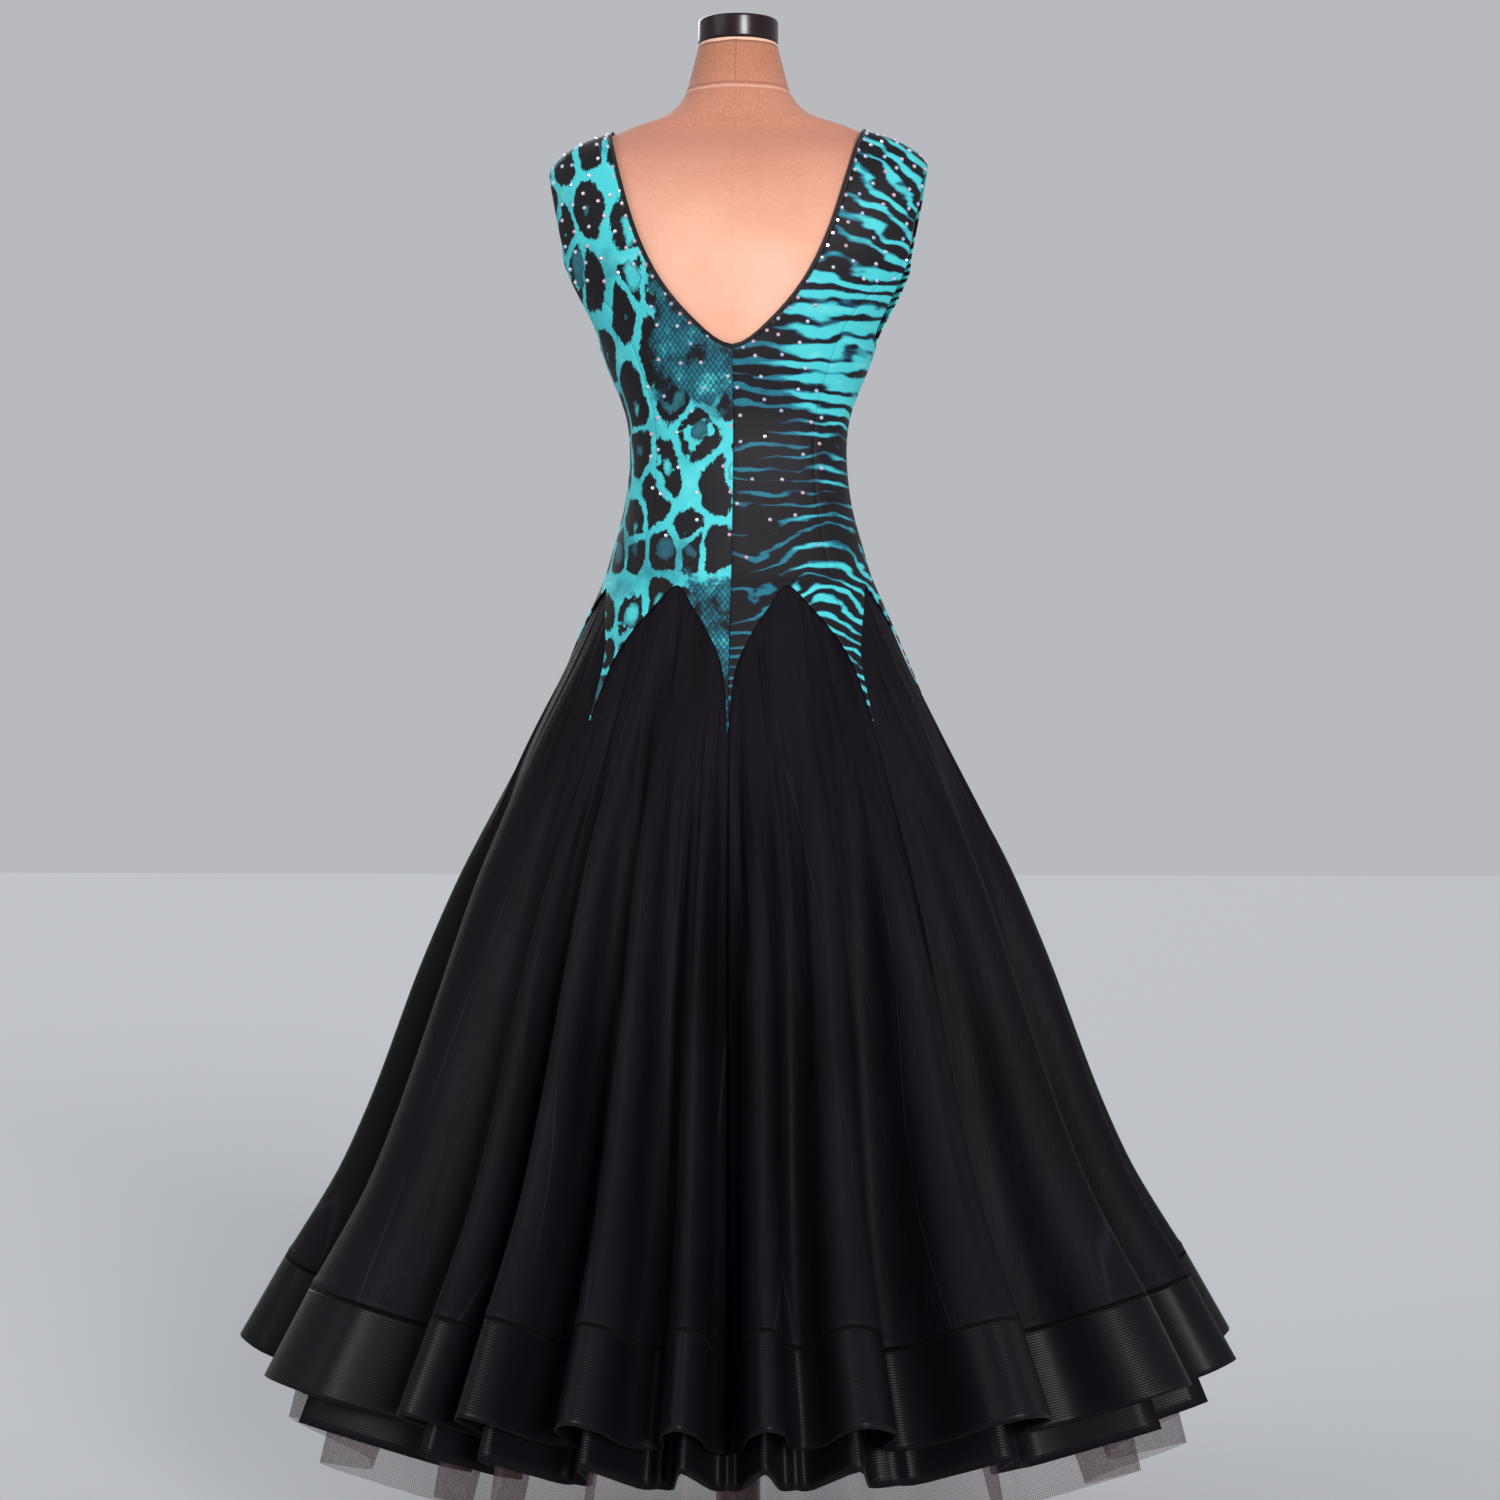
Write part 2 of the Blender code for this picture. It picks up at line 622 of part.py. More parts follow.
def skirt():
    organza = finish("black_organza", (0.012, 0.010, 0.012), 0.55)
    braid = finish("crinoline_braid", (0.010, 0.009, 0.011), 0.40)

    def godet_shares(column):
        top = share_at(column, godet_edge(column.top_angle))
        return [mix(top, 1.0, row) for row in GODET_ROWS]

    def braid_shares(column):
        return (1.0, BRAID_END)

    def inside(share):
        return LAP

    layer("godet_", godet_columns, godet_shares, inside, ORGANZA, organza)
    layer("braid_", godet_columns, braid_shares, inside, BRAID, braid)


def under_layers():
    organza = finish("under_organza", (0.014, 0.011, 0.013), 0.6)
    braid = finish("under_braid", (0.010, 0.009, 0.011), 0.40)
    net = finish("stiff_net", (0.030, 0.020, 0.024), 0.7)

    def inside(number):
        """How far inside the flutes' troughs a layer hangs: close at the hip, apart at the hem."""
        def at(share):
            loose = min(1.0, share / LOOSE_SHARE)
            return LAP + number * (LAYER + LOOSENING * loose) + read(SKIRT, share).puff
        return at

    def shares(*rows):
        return lambda column: rows

    underskirt_rows = shares(*UNDER_ROWS, UNDERSKIRT_END)
    underbraid_rows = shares(UNDERSKIRT_END, UNDERBRAID_END)
    petticoat_rows = shares(*UNDER_ROWS, PETTICOAT_END)
    layer("underskirt_", under_columns, underskirt_rows, inside(1), ORGANZA, organza)
    layer("underbraid_", under_columns, underbraid_rows, inside(1), BRAID, braid)
    layer("petticoat_", under_columns, petticoat_rows, inside(2), NET, net)


# ---------------------------------------------------------------- dress form and stand
def form_torso():
    rings = []
    for height in FORM_HEIGHTS:
        gap = read(FORM_INSIDE, height)
        ring = []
        for k in range(FORM_SIDES):
            angle = 2 * pi * k / FORM_SIDES
            deep = mix(gap.back, gap.front, (1 - cos(angle)) / 2)
            ring.append(figure_point(angle, height, -mix(deep, gap.side, sin(angle) ** FORM_SIDE_REACH)))
        rings.append(ring)
    for ring, height in ((rings[0], FORM_HEIGHTS[0]), (rings[-1], NECK_TOP)):
        for spot in ring:
            spot.z = height
    spots = [tuple(spot) for ring in rings for spot in ring]
    faces = []
    for i in range(len(rings) - 1):
        for j in range(FORM_SIDES):
            right = (j + 1) % FORM_SIDES
            low, high = i * FORM_SIDES, (i + 1) * FORM_SIDES
            faces.append((low + j, low + right, high + right, high + j))
    top = (len(rings) - 1) * FORM_SIDES
    faces.append(tuple(reversed(range(FORM_SIDES))))
    faces.append(tuple(range(top, top + FORM_SIDES)))
    mesh = bpy.data.meshes.new("form_torso")
    mesh.from_pydata(spots, [], faces)
    mesh.shade_smooth()
    mesh.set_sharp_from_angle(angle=FORM_EDGE)
    add_object("form_torso", mesh, finish("form_cloth", (0.62, 0.34, 0.22), 0.85))


def turned(name, profile, sides, material):
    """A turned solid from its outline of radii and heights, top to bottom, with both ends on the axis."""
    mesh = bpy.data.meshes.new(name)
    spots = [(radius, 0, height) for radius, height in profile]
    edges = [(k, k + 1) for k in range(len(profile) - 1)]
    mesh.from_pydata(spots, edges, [])
    piece = add_object(name, mesh, material)
    screw = piece.modifiers.new("turn", "SCREW")
    screw.steps = sides
    screw.render_steps = sides
    screw.use_merge_vertices = True
    screw.merge_threshold = 0.0001
    return piece


def stand():
    cap_low = NECK_TOP + SEAM
    cap_high = cap_low + CAP_HEIGHT
    cap = (
        (0, cap_high),
        (CAP_RADIUS - CAP_BEVEL, cap_high),
        (CAP_RADIUS - CAP_ROUNDING, cap_high - CAP_ROUNDING),
        (CAP_RADIUS, cap_high - CAP_BEVEL),
        (CAP_RADIUS, cap_low),
        (0, cap_low),
    )
    turned("form_neck_cap", cap, CAP_SIDES, finish("cap_lacquer", (0.020, 0.010, 0.010), 0.18))

    lacquer = finish("pole_lacquer", (0.030, 0.012, 0.012), 0.25)
    pole = (
        (0, FORM_END - SEAM),
        (POLE_RADIUS, FORM_END - SEAM),
        (POLE_RADIUS, FOOT_HEIGHT + SEAM),
        (0, FOOT_HEIGHT + SEAM),
    )
    turned("form_pole", pole, POLE_SIDES, lacquer)

    foot = (
        (0, FOOT_HEIGHT),
        (COLLAR_RADIUS, FOOT_HEIGHT),
        (COLLAR_FOOT_RADIUS, COLLAR_FOOT_HEIGHT),
        (FOOT_RADIUS - FOOT_BEVEL, FOOT_RIM),
        (FOOT_RADIUS, FOOT_RIM - FOOT_BEVEL),
        (FOOT_RADIUS, 0),
        (0, 0),
    )
    turned("form_base", foot, FOOT_SIDES, lacquer)


PARTS = empty_scene()
bodice()
neck_binding()
skirt()
under_layers()
form_torso()
stand()
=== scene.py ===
"""A ballroom dance dress on its dress form: the fine cloth, prints, stones and finishes."""
from math import atan2, cos, pi, radians, sin

import bmesh
import bpy
import numpy as np
from mathutils import Matrix, Vector


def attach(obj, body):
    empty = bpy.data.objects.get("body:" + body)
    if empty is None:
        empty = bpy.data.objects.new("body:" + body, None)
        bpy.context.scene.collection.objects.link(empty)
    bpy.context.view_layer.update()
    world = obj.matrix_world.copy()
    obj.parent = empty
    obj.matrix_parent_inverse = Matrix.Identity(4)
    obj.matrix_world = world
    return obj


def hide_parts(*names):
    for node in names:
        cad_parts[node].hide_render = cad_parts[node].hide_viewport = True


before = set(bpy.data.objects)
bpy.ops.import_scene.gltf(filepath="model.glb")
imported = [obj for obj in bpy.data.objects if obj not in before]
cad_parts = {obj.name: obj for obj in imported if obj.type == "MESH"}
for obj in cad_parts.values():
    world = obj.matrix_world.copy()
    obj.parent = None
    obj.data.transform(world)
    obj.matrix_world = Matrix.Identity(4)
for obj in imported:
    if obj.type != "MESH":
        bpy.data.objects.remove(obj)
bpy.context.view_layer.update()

# ---------------------------------------------------------------- the dress form's cover
# The form is a padded shell under stretched tan jersey. Its cover has a seam up the centre of the back and
# the front, one round the base of the neck, and is drawn in under the cap with small gathers.

SAME_POINT = 0.00002          # corners that are closer than this are one point
WALL_EDGE = 0.0020            # a face with an edge shorter than this is the cut edge of a cloth's wall
LEVEL = 0.999                 # a face whose normal is this upright is a level end
TOP_FROM = 1.5                # of the form's two edges, only the top one is above this height
COLLAR_SEAM = 1.644           # heights of the seam round the base of the neck and of the cover's top edge
COVER_TOP = 1.695
# Painted shade: the jersey is made darker over the shoulders and again up the neck, for the shade that falls
# there.
SHOULDER_SHADE = (1.43, 1.60)           # the jersey darkens between these heights, and again up the neck
NECK_SHADE = (1.62, 1.68)
SEAM_DEPTH = 0.0009


def outer_side(name, ring):
    """A mesh of a node's outer face alone. A ring of the form has level ends, and a cloth has cut edges."""
    mesh = bmesh.new()
    mesh.from_mesh(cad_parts[name].data)
    bmesh.ops.remove_doubles(mesh, verts=mesh.verts, dist=SAME_POINT)
    if ring:
        rim = [face for face in mesh.faces if abs(face.normal.z) > LEVEL]
    else:
        rim = [face for face in mesh.faces if min(edge.calc_length() for edge in face.edges) < WALL_EDGE]
    bmesh.ops.delete(mesh, geom=rim, context="FACES")
    best, kept = 0.0, None
    left = set(mesh.faces)
    while left:
        island, reached = set(), [left.pop()]
        while reached:
            face = reached.pop()
            island.add(face)
            for edge in face.edges:
                for other in edge.link_faces:
                    if other in left:
                        left.discard(other)
                        reached.append(other)
        outwardness = 0.0
        for face in island:
            middle = face.calc_center_median()
            outwardness += (middle.x * face.normal.x + middle.y * face.normal.y) * face.calc_area()
        if outwardness > best:
            best, kept = outwardness, island
    bmesh.ops.delete(mesh, geom=[face for face in mesh.faces if face not in kept], context="FACES")
    return mesh


def filled(top, left, neighbours):
    """A grid of points from its top row and left column, found along the edges of the mesh, or None."""
    rows = [list(top)]
    for first in left[1:]:
        row = [first]
        for j in range(1, len(top)):
            above = rows[-1]
            shared = (neighbours[row[-1]] & neighbours[above[j]]) - {above[j - 1]}
            shared -= set(above)
            if len(shared) != 1:
                return None
            row.append(shared.pop())
        rows.append(row)
    return rows


def finer(grid, down, across, closed=False):
    """The grid with points added between its rows and columns, on smooth curves through the old ones."""
    for axis, times in ((0, down), (1, across)):
        for _ in range(times):
            lines = np.moveaxis(grid, axis, 0)
            if closed and axis == 1:
                padded = np.concatenate([lines[-1:], lines, lines[:2]])
            else:
                padded = np.concatenate([[2 * lines[0] - lines[1]], lines, [2 * lines[-1] - lines[-2]]])
            between = (9 * (padded[1:-2] + padded[2:-1]) - padded[:-3] - padded[3:]) / 16
            count = len(lines) + len(between)
            woven = np.empty((count,) + lines.shape[1:])
            woven[0::2] = lines
            woven[1::2] = between
            grid = np.moveaxis(woven, 0, axis)
    return grid


def sheet_object(name, grid, wall, flat=None, folds=None, closed=False):
    """A sheet of cloth through the grid's points, with its wall on the inner side.

    One UV map is its flat pattern, and another follows its folds."""
    rows, wide = grid.shape[:2]
    around = wide if closed else wide - 1
    faces = []
    for i in range(rows - 1):
        for j in range(around):
            right = (j + 1) % wide
            faces.append((i * wide + j, (i + 1) * wide + j, (i + 1) * wide + right, i * wide + right))
    mesh = bpy.data.meshes.new(name)
    mesh.from_pydata(grid.reshape(-1, 3).tolist(), [], faces)
    corners = np.array([loop.vertex_index for loop in mesh.loops])
    for chart, uv in (("flat", flat), ("folds", folds)):
        if uv is not None:
            mesh.uv_layers.new(name=chart).data.foreach_set("uv", uv.reshape(-1, 2)[corners].ravel())
    mesh.shade_smooth()
    piece = bpy.data.objects.new(name, mesh)
    bpy.context.scene.collection.objects.link(piece)
    if wall:
        solidify = piece.modifiers.new("wall", "SOLIDIFY")
        solidify.thickness = wall
        solidify.offset = -1
    return piece


class Value:
    """A number, vector or colour in a material. Sums on it add Math nodes."""

    def __init__(self, finish, socket):
        self.finish = finish
        self.socket = socket

    def math(self, operation, *others):
        return self.finish.node("ShaderNodeMath", {"operation": operation}, dict(enumerate((self,) + others)))

    def __add__(self, other):
        return self.math("ADD", other)

    def __sub__(self, other):
        return self.math("SUBTRACT", other)

    def __rsub__(self, other):
        return self.math("MULTIPLY_ADD", -1.0, other)

    def __mul__(self, other):
        return self.math("MULTIPLY", other)

    __radd__ = __add__
    __rmul__ = __mul__

    def wave(self):
        """The sine of this number of turns."""
        return (self * (2 * pi)).math("SINE")

    def step(self, low, high):
        """0 below low, 1 above high, and smooth between them."""
        settings = {"interpolation_type": "SMOOTHSTEP"}
        values = {"Value": self, "From Min": low, "From Max": high}
        return self.finish.node("ShaderNodeMapRange", settings, values)


class Finish:
    """A material: its Principled shader, whose fixed values are given, and the nodes that feed it."""

    def __init__(self, name, **fixed):
        self.material = bpy.data.materials.new(name)
        self.material.use_nodes = True
        self.tree = self.material.node_tree
        self.shader = self.tree.nodes["Principled BSDF"]
        self.feed(**fixed)

    def node(self, kind, settings=None, values=None, output=0):
        """One of a new node's outputs. Its settings are set first, and then its sockets' values or links."""
        node = self.tree.nodes.new(kind)
        for key, value in (settings or {}).items():
            setattr(node, key, value)
        self.set(node, values or {})
        return Value(self, node.outputs[output])

    def set(self, node, values):
        for key, value in values.items():
            if isinstance(value, Value):
                self.tree.links.new(value.socket, node.inputs[key])
            else:
                node.inputs[key].default_value = value

    def feed(self, **values):
        self.set(self.shader, {key.replace("_", " "): value for key, value in values.items()})

    def place(self, scale=(1, 1, 1), move=(0, 0, 0), chart="flat"):
        """Where a point lies on the flat cloth or along its folds: a UV map in metres, scaled, then moved."""
        uv = self.node("ShaderNodeUVMap", {"uv_map": chart})
        return self.scaled(uv, scale, move)

    def scaled(self, vector, scale, move=(0, 0, 0)):
        return self.node("ShaderNodeMapping", {}, {"Vector": vector, "Scale": scale, "Location": move})

    def solid(self, scale=(1, 1, 1)):
        """Where a point lies in the object, in metres."""
        return self.scaled(self.node("ShaderNodeTexCoord", output=3), scale)

    def axis(self, vector, number):
        return self.node("ShaderNodeSeparateXYZ", {}, {0: vector}, number)

    def noise(self, vector, scale, detail=2.0, roughness=0.5, output=0):
        values = {"Vector": vector, "Scale": scale, "Detail": detail, "Roughness": roughness}
        return self.node("ShaderNodeTexNoise", {}, values, output)

    def cells(self, vector, scale, feature="F1", randomness=1.0, output=0):
        values = {"Vector": vector, "Scale": scale, "Randomness": randomness}
        settings = {"feature": feature, "voronoi_dimensions": "2D"}
        return self.node("ShaderNodeTexVoronoi", settings, values, output)

    def shifted(self, vector, by, amount):
        """The vector moved by a noise colour, which is 0.5 on average."""
        centred = self.node("ShaderNodeVectorMath", {"operation": "SUBTRACT"}, {0: by, 1: (0.5, 0.5, 0.5)})
        moved = self.node("ShaderNodeVectorMath", {"operation": "SCALE"}, {0: centred, "Scale": amount})
        return self.node("ShaderNodeVectorMath", {"operation": "ADD"}, {0: vector, 1: moved})

    def blend(self, factor, first, second):
        """The first colour where factor is 0, and the second where it is 1."""
        values = {0: factor, 6: first, 7: second}
        return self.node("ShaderNodeMix", {"data_type": "RGBA"}, values, 2)

    def bump(self, height, distance, strength=1.0):
        values = {"Height": height, "Distance": distance, "Strength": strength}
        self.feed(Normal=self.node("ShaderNodeBump", {}, values))


def colour(red, green, blue):
    """A linear colour from display values of 0 to 255."""
    def linear(value):
        value /= 255
        return value / 12.92 if value <= 0.04045 else ((value + 0.055) / 1.055) ** 2.4
    return (linear(red), linear(green), linear(blue), 1.0)


def give(piece, finish):
    """The piece gets this finish alone."""
    piece.data.materials.clear()
    piece.data.materials.append(finish.material)


def start_edit(piece):
    """Edit mode on one piece alone, with nothing of it selected."""
    bpy.ops.object.select_all(action="DESELECT")
    piece.select_set(True)
    bpy.context.view_layer.objects.active = piece
    bpy.ops.object.mode_set(mode="EDIT")
    bpy.ops.mesh.select_mode(type="VERT")
    bpy.ops.mesh.select_all(action="DESELECT")


def form_rings():
    """The form's outer face as rings of points, top to bottom, from the centre back round by the right."""
    mesh = outer_side("form_torso", ring=True)
    neighbours = {vert: {edge.other_vert(vert) for edge in vert.link_edges} for vert in mesh.verts}
    back = [vert for vert in mesh.verts if abs(vert.co.x) < SAME_POINT and vert.co.y < 0]
    back.sort(key=lambda vert: -vert.co.z)
    top_edge = {vert for vert in mesh.verts if vert.is_boundary and vert.co.z > TOP_FROM}
    top = [back[0]]
    while len(top) < len(top_edge):
        ahead = [vert for vert in neighbours[top[-1]] & top_edge if vert not in top]
        top.append(max(ahead, key=lambda vert: vert.co.x) if len(top) == 1 else ahead[0])
    rows = filled(top, back, neighbours)
    return np.array([[vert.co[:] for vert in row] for row in rows])


jersey = Finish("tan_jersey", Roughness=0.85, Sheen_Weight=0.15, Sheen_Roughness=0.5, Specular_IOR_Level=0.3)
spot = jersey.solid()
height = jersey.axis(spot, 2)
blotches = jersey.noise(spot, 8.0, 4.0, 0.6)
weave = jersey.noise(jersey.solid((900.0, 900.0, 300.0)), 1.0, 2.0)
tan = jersey.blend(blotches.step(0.3, 0.75), colour(236, 178, 153), colour(221, 160, 135))
# Painted shade: darker over the shoulders and again up the neck.
tan = jersey.blend(height.step(*SHOULDER_SHADE) * 0.85, tan, colour(168, 104, 80))
tan = jersey.blend(height.step(*NECK_SHADE) * 0.6, tan, colour(160, 99, 68))
tan = jersey.blend(weave.step(0.40, 0.9) * 0.3, tan, colour(242, 196, 168))
wander = jersey.noise(jersey.solid((30.0, 30.0, 4.0)), 1.0, 2.0) * 0.003 - 0.0015
upright = 1 - (jersey.axis(spot, 0) + wander).math("ABSOLUTE").step(0.0002, 0.0011)
round_neck = 1 - (height + wander * 1.5 - COLLAR_SEAM).math("ABSOLUTE").step(0.0006, 0.0014)
# Painted shadow: a thin dark line just under the cover's rolled top edge, darkened together with the real
# seams.
shadow_under_roll = 1 - (height + wander - COVER_TOP + 0.0045).math("ABSOLUTE").step(0.0005, 0.0012)
upright = upright * (height.step(1.63, 1.66) * 0.3 + 0.12)
seams_and_shadow = upright.math("MAXIMUM", round_neck * 0.6).math("MAXIMUM", shadow_under_roll)
tan = jersey.blend(seams_and_shadow * 0.42, tan, colour(126, 78, 56))
# Painted highlights: the cover's rolled top edge and a fold just below the collar seam are made paler, for
# the light they catch.
rolled_edge_highlight = (height + wander).step(COVER_TOP - 0.0036, COVER_TOP - 0.0026)
fold_highlight = 1 - (height + wander * 1.5 - COLLAR_SEAM + 0.0035).math("ABSOLUTE").step(0.0006, 0.0022)
tan = jersey.blend(rolled_edge_highlight * 0.75 + fold_highlight * 0.35, tan, colour(240, 196, 172))
folds = jersey.noise(jersey.solid((90.0, 90.0, 12.0)), 1.0, 2.0) * height.step(1.640, 1.675)
at_collar = 1 - (height - COLLAR_SEAM).math("ABSOLUTE").step(0.0, 0.012)
slack = jersey.noise(jersey.solid((9.0, 9.0, 160.0)), 1.0, 2.0) * at_collar
jersey.feed(Base_Color=tan)
jersey.bump(weave * 0.25 + folds * 2.2 + slack * 1.6 - seams_and_shadow * 1.5, SEAM_DEPTH)

rings = finer(form_rings(), 2, 2, closed=True)
form_cover = sheet_object("form_cover", rings, 0, closed=True)
start_edit(form_cover)
bpy.ops.mesh.select_non_manifold()
bpy.ops.mesh.mark_sharp()
bpy.ops.mesh.select_all(action="SELECT")
bpy.ops.mesh.fill_holes(sides=0)
bpy.ops.object.mode_set(mode="OBJECT")
give(form_cover, jersey)
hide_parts("form_torso")
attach(form_cover, "root")

# ---------------------------------------------------------------- the bodice
# The bodice is printed stretch jersey, sewn from a front and three panels on each side, which end in long
# points over the skirt. The wearer's left has a spotted print and the right a striped one, both cut to meet
# at the centre back, and each fades through dark blue patches of small scales near the middle.

PANELS = (                    # each panel's node, and its print
    ("bodice_back_right", "striped"), ("bodice_side_back_right", "striped"),
    ("bodice_side_front_right", "striped"), ("bodice_back_left", "spotted"),
    ("bodice_side_back_left", "spotted"), ("bodice_side_front_left", "spotted"),
)
BODICE_WALL = 0.0012
PANEL_COLUMNS = 9             # points across a panel's node, and how often that grid is halved
PANEL_HALVINGS = 3
SEAM_GROOVE = 0.0006          # how deep the stitching draws a panel's edge in, and how far that reaches
SEAM_REACH = 0.0025
FOLD_SNAP = 0.0005            # the front's points this close to its fold lie on it
JOIN = 0.00005                # and its halves are joined where their points are this close
ROUND_STEPS = 24              # steps in which the way round the figure is summed up
BACK_SPOTS, FRONT_SPOTS = 0.095, 0.27         # the spotted print's middle, round from the centre back
PATCH_BACK = (1.285, 1.30, 1.455, 1.475)      # the heights at which the scales fade in and out again
PATCH_HIP = (1.10, 1.115)
ROSETTES_GROW = (1.02, 1.24)                  # the rosettes come to their full size between these heights
ROSETTE_CELLS = 18.0                          # rosettes for each metre
HIP_FAN = (1.04, 1.21)                        # the heights at which the stripes fan, slant and are darkest
STRAP_SLANT = (1.40, 1.50)
WAIST = 1.20
STRIPES = 57                                  # for each metre, and fewer below and above these two heights
WIDER_BELOW, WIDER_ABOVE = 1.285, 1.43
KNIT_RIBS = 1400                              # ribs for each metre
KNIT_DEPTH = 0.00012
TURQUOISE = colour(70, 196, 201)
PALE_TURQUOISE = colour(138, 226, 224)
TEAL = colour(24, 108, 126)
DARK_BLUE = colour(20, 42, 66)
PRINT_BLACK = colour(9, 7, 13)


def grid_of(name, columns, half=False):
    """The outer face of a cloth node as rows of points, from the top, and left to right seen from outside."""
    mesh = outer_side(name, ring=False)
    if half:
        far = [face for face in mesh.faces if face.calc_center_median().x < 0]
        bmesh.ops.delete(mesh, geom=far, context="FACES")
    neighbours = {vert: {edge.other_vert(vert) for edge in vert.link_edges} for vert in mesh.verts}
    border = {vert for vert in mesh.verts if vert.is_boundary}
    loop = [min(border, key=lambda vert: vert.index)]
    while len(loop) < len(border):
        ahead = [
            edge.other_vert(loop[-1]) for edge in loop[-1].link_edges
            if edge.is_boundary and edge.other_vert(loop[-1]) not in loop
        ]
        loop.append(ahead[0])
    middle = sum((vert.co for vert in mesh.verts), Vector()) / len(mesh.verts)
    facing = atan2(middle.x, -middle.y)

    def turn(vert):
        angle = atan2(vert.co.x, -vert.co.y) - facing
        return (angle + pi) % (2 * pi) - pi

    row_count = len(loop) // 2 - columns + 2
    for ring in (loop, loop[::-1]):
        for start in range(len(ring)):
            around = ring[start:] + ring[:start]
            top = around[:columns]
            left = [around[0]] + around[:-row_count:-1]
            rows = filled(top, left, neighbours)
            if rows is None or len({vert for row in rows for vert in row}) != len(mesh.verts):
                continue
            falls = sum(vert.co.z for vert in rows[0]) > sum(vert.co.z for vert in rows[-1])
            if falls and turn(rows[0][0]) < turn(rows[0][-1]):
                return np.array([[vert.co[:] for vert in row] for row in rows])
    raise ValueError(name)


def outward(grid):
    """Unit normals of the grid's points, pointing away from the body."""
    normal = np.cross(np.gradient(grid, axis=0), np.gradient(grid, axis=1))
    return normal / np.linalg.norm(normal, axis=2, keepdims=True)


def lengths(grid, axis):
    """Distance along the rows (axis 1) or columns (axis 0) of a grid, from their start to each point."""
    steps = np.linalg.norm(np.diff(grid, axis=axis), axis=2)
    start = np.zeros_like(np.take(steps, [0], axis=axis))
    return np.concatenate([start, np.cumsum(steps, axis=axis)], axis=axis)


def joined(pieces, name):
    """The pieces as one object with this name."""
    bpy.ops.object.select_all(action="DESELECT")
    for piece in pieces:
        piece.select_set(True)
    bpy.context.view_layer.objects.active = pieces[0]
    bpy.ops.object.join()
    piece = bpy.context.object
    piece.name = piece.data.name = name
    return piece


def wrapped(grid):
    """How far each point lies round the figure from the centre back, in metres, and how high."""
    heights = rings[::-1, :, 2].mean(axis=1)
    half_width = np.interp(grid[..., 2], heights, rings[::-1, :, 0].max(axis=1))
    back = np.interp(grid[..., 2], heights, -rings[::-1, :, 1].min(axis=1))
    front = np.interp(grid[..., 2], heights, rings[::-1, :, 1].max(axis=1))
    deep = np.where(grid[..., 1] < 0, back, front)
    turn = np.arctan2(np.abs(grid[..., 0]) / half_width, -grid[..., 1] / deep)
    size = np.hypot(grid[..., 0] / half_width, grid[..., 1] / deep)
    along = 0
    for share in (np.arange(ROUND_STEPS) + 0.5) / ROUND_STEPS:
        part = turn * share
        reach = np.where(part < pi / 2, back, front)
        along = along + np.hypot(half_width * np.cos(part), reach * np.sin(part)) * turn / ROUND_STEPS
    return np.stack([np.sign(grid[..., 0]) * along * size, grid[..., 2]], axis=2)


def ridge(offset, wide):
    """1 on a line, falling to 0 on both sides of it."""
    return np.exp(-(offset / wide) ** 2)


def seamed(grid):
    """The panel with its edges drawn in a little by the stitching."""
    along = lengths(grid, 1)
    edge = np.minimum(along, along[:, -1:] - along)
    return grid - outward(grid) * (SEAM_GROOVE * ridge(edge, SEAM_REACH))[..., None]


def cut(grid):
    """The flat size of a piece of cloth and its area, in metres."""
    first, second = grid[1:, 1:] - grid[:-1, :-1], grid[1:, :-1] - grid[:-1, 1:]
    area = np.linalg.norm(np.cross(first, second), axis=2).sum() / 2
    tall = lengths(grid, 0)[-1].max()
    wide = max(np.median(lengths(grid, 1)[:, -1]), area / tall)
    return (float(wide), float(tall)), float(min(area, wide * tall))


def scales_on(cloth):
    """Snake scales: small teal diamonds with dark rims, on cloth that is mottled from black to turquoise."""
    across = cloth.axis(cloth.place(), 0)
    down = cloth.axis(cloth.place(), 1)
    rise = (across * 84 + down * 62).wave().math("ABSOLUTE")
    fall = (across * 84 - down * 62).wave().math("ABSOLUTE")
    scale = rise.math("MINIMUM", fall).step(0.12, 0.55)
    mottle = cloth.noise(cloth.place(), 24.0, 5.0, 0.7)
    tone = cloth.blend(mottle.step(0.40, 0.55), PRINT_BLACK, TEAL)
    tone = cloth.blend(mottle.step(0.56, 0.70), tone, TURQUOISE)
    return cloth.blend(scale * 0.8 + 0.2, PRINT_BLACK, tone)


def patches(cloth):
    """Where the scales show: ragged areas near the centre back, above the waist and at the hips."""
    across = cloth.axis(cloth.place(), 0).math("ABSOLUTE")
    ragged = cloth.noise(cloth.place(), 26.0, 4.0, 0.65) - 0.5
    down = cloth.axis(cloth.place(), 1) + ragged * 0.12
    upper = down.step(*PATCH_BACK[:2]) * (1 - down.step(*PATCH_BACK[2:]))
    upper = upper * (1 - (across + ragged * 0.1).step(0.085, 0.095))
    lower = (1 - down.step(*PATCH_HIP)) * (1 - (across + ragged * 0.08).step(0.042, 0.050))
    return upper + lower


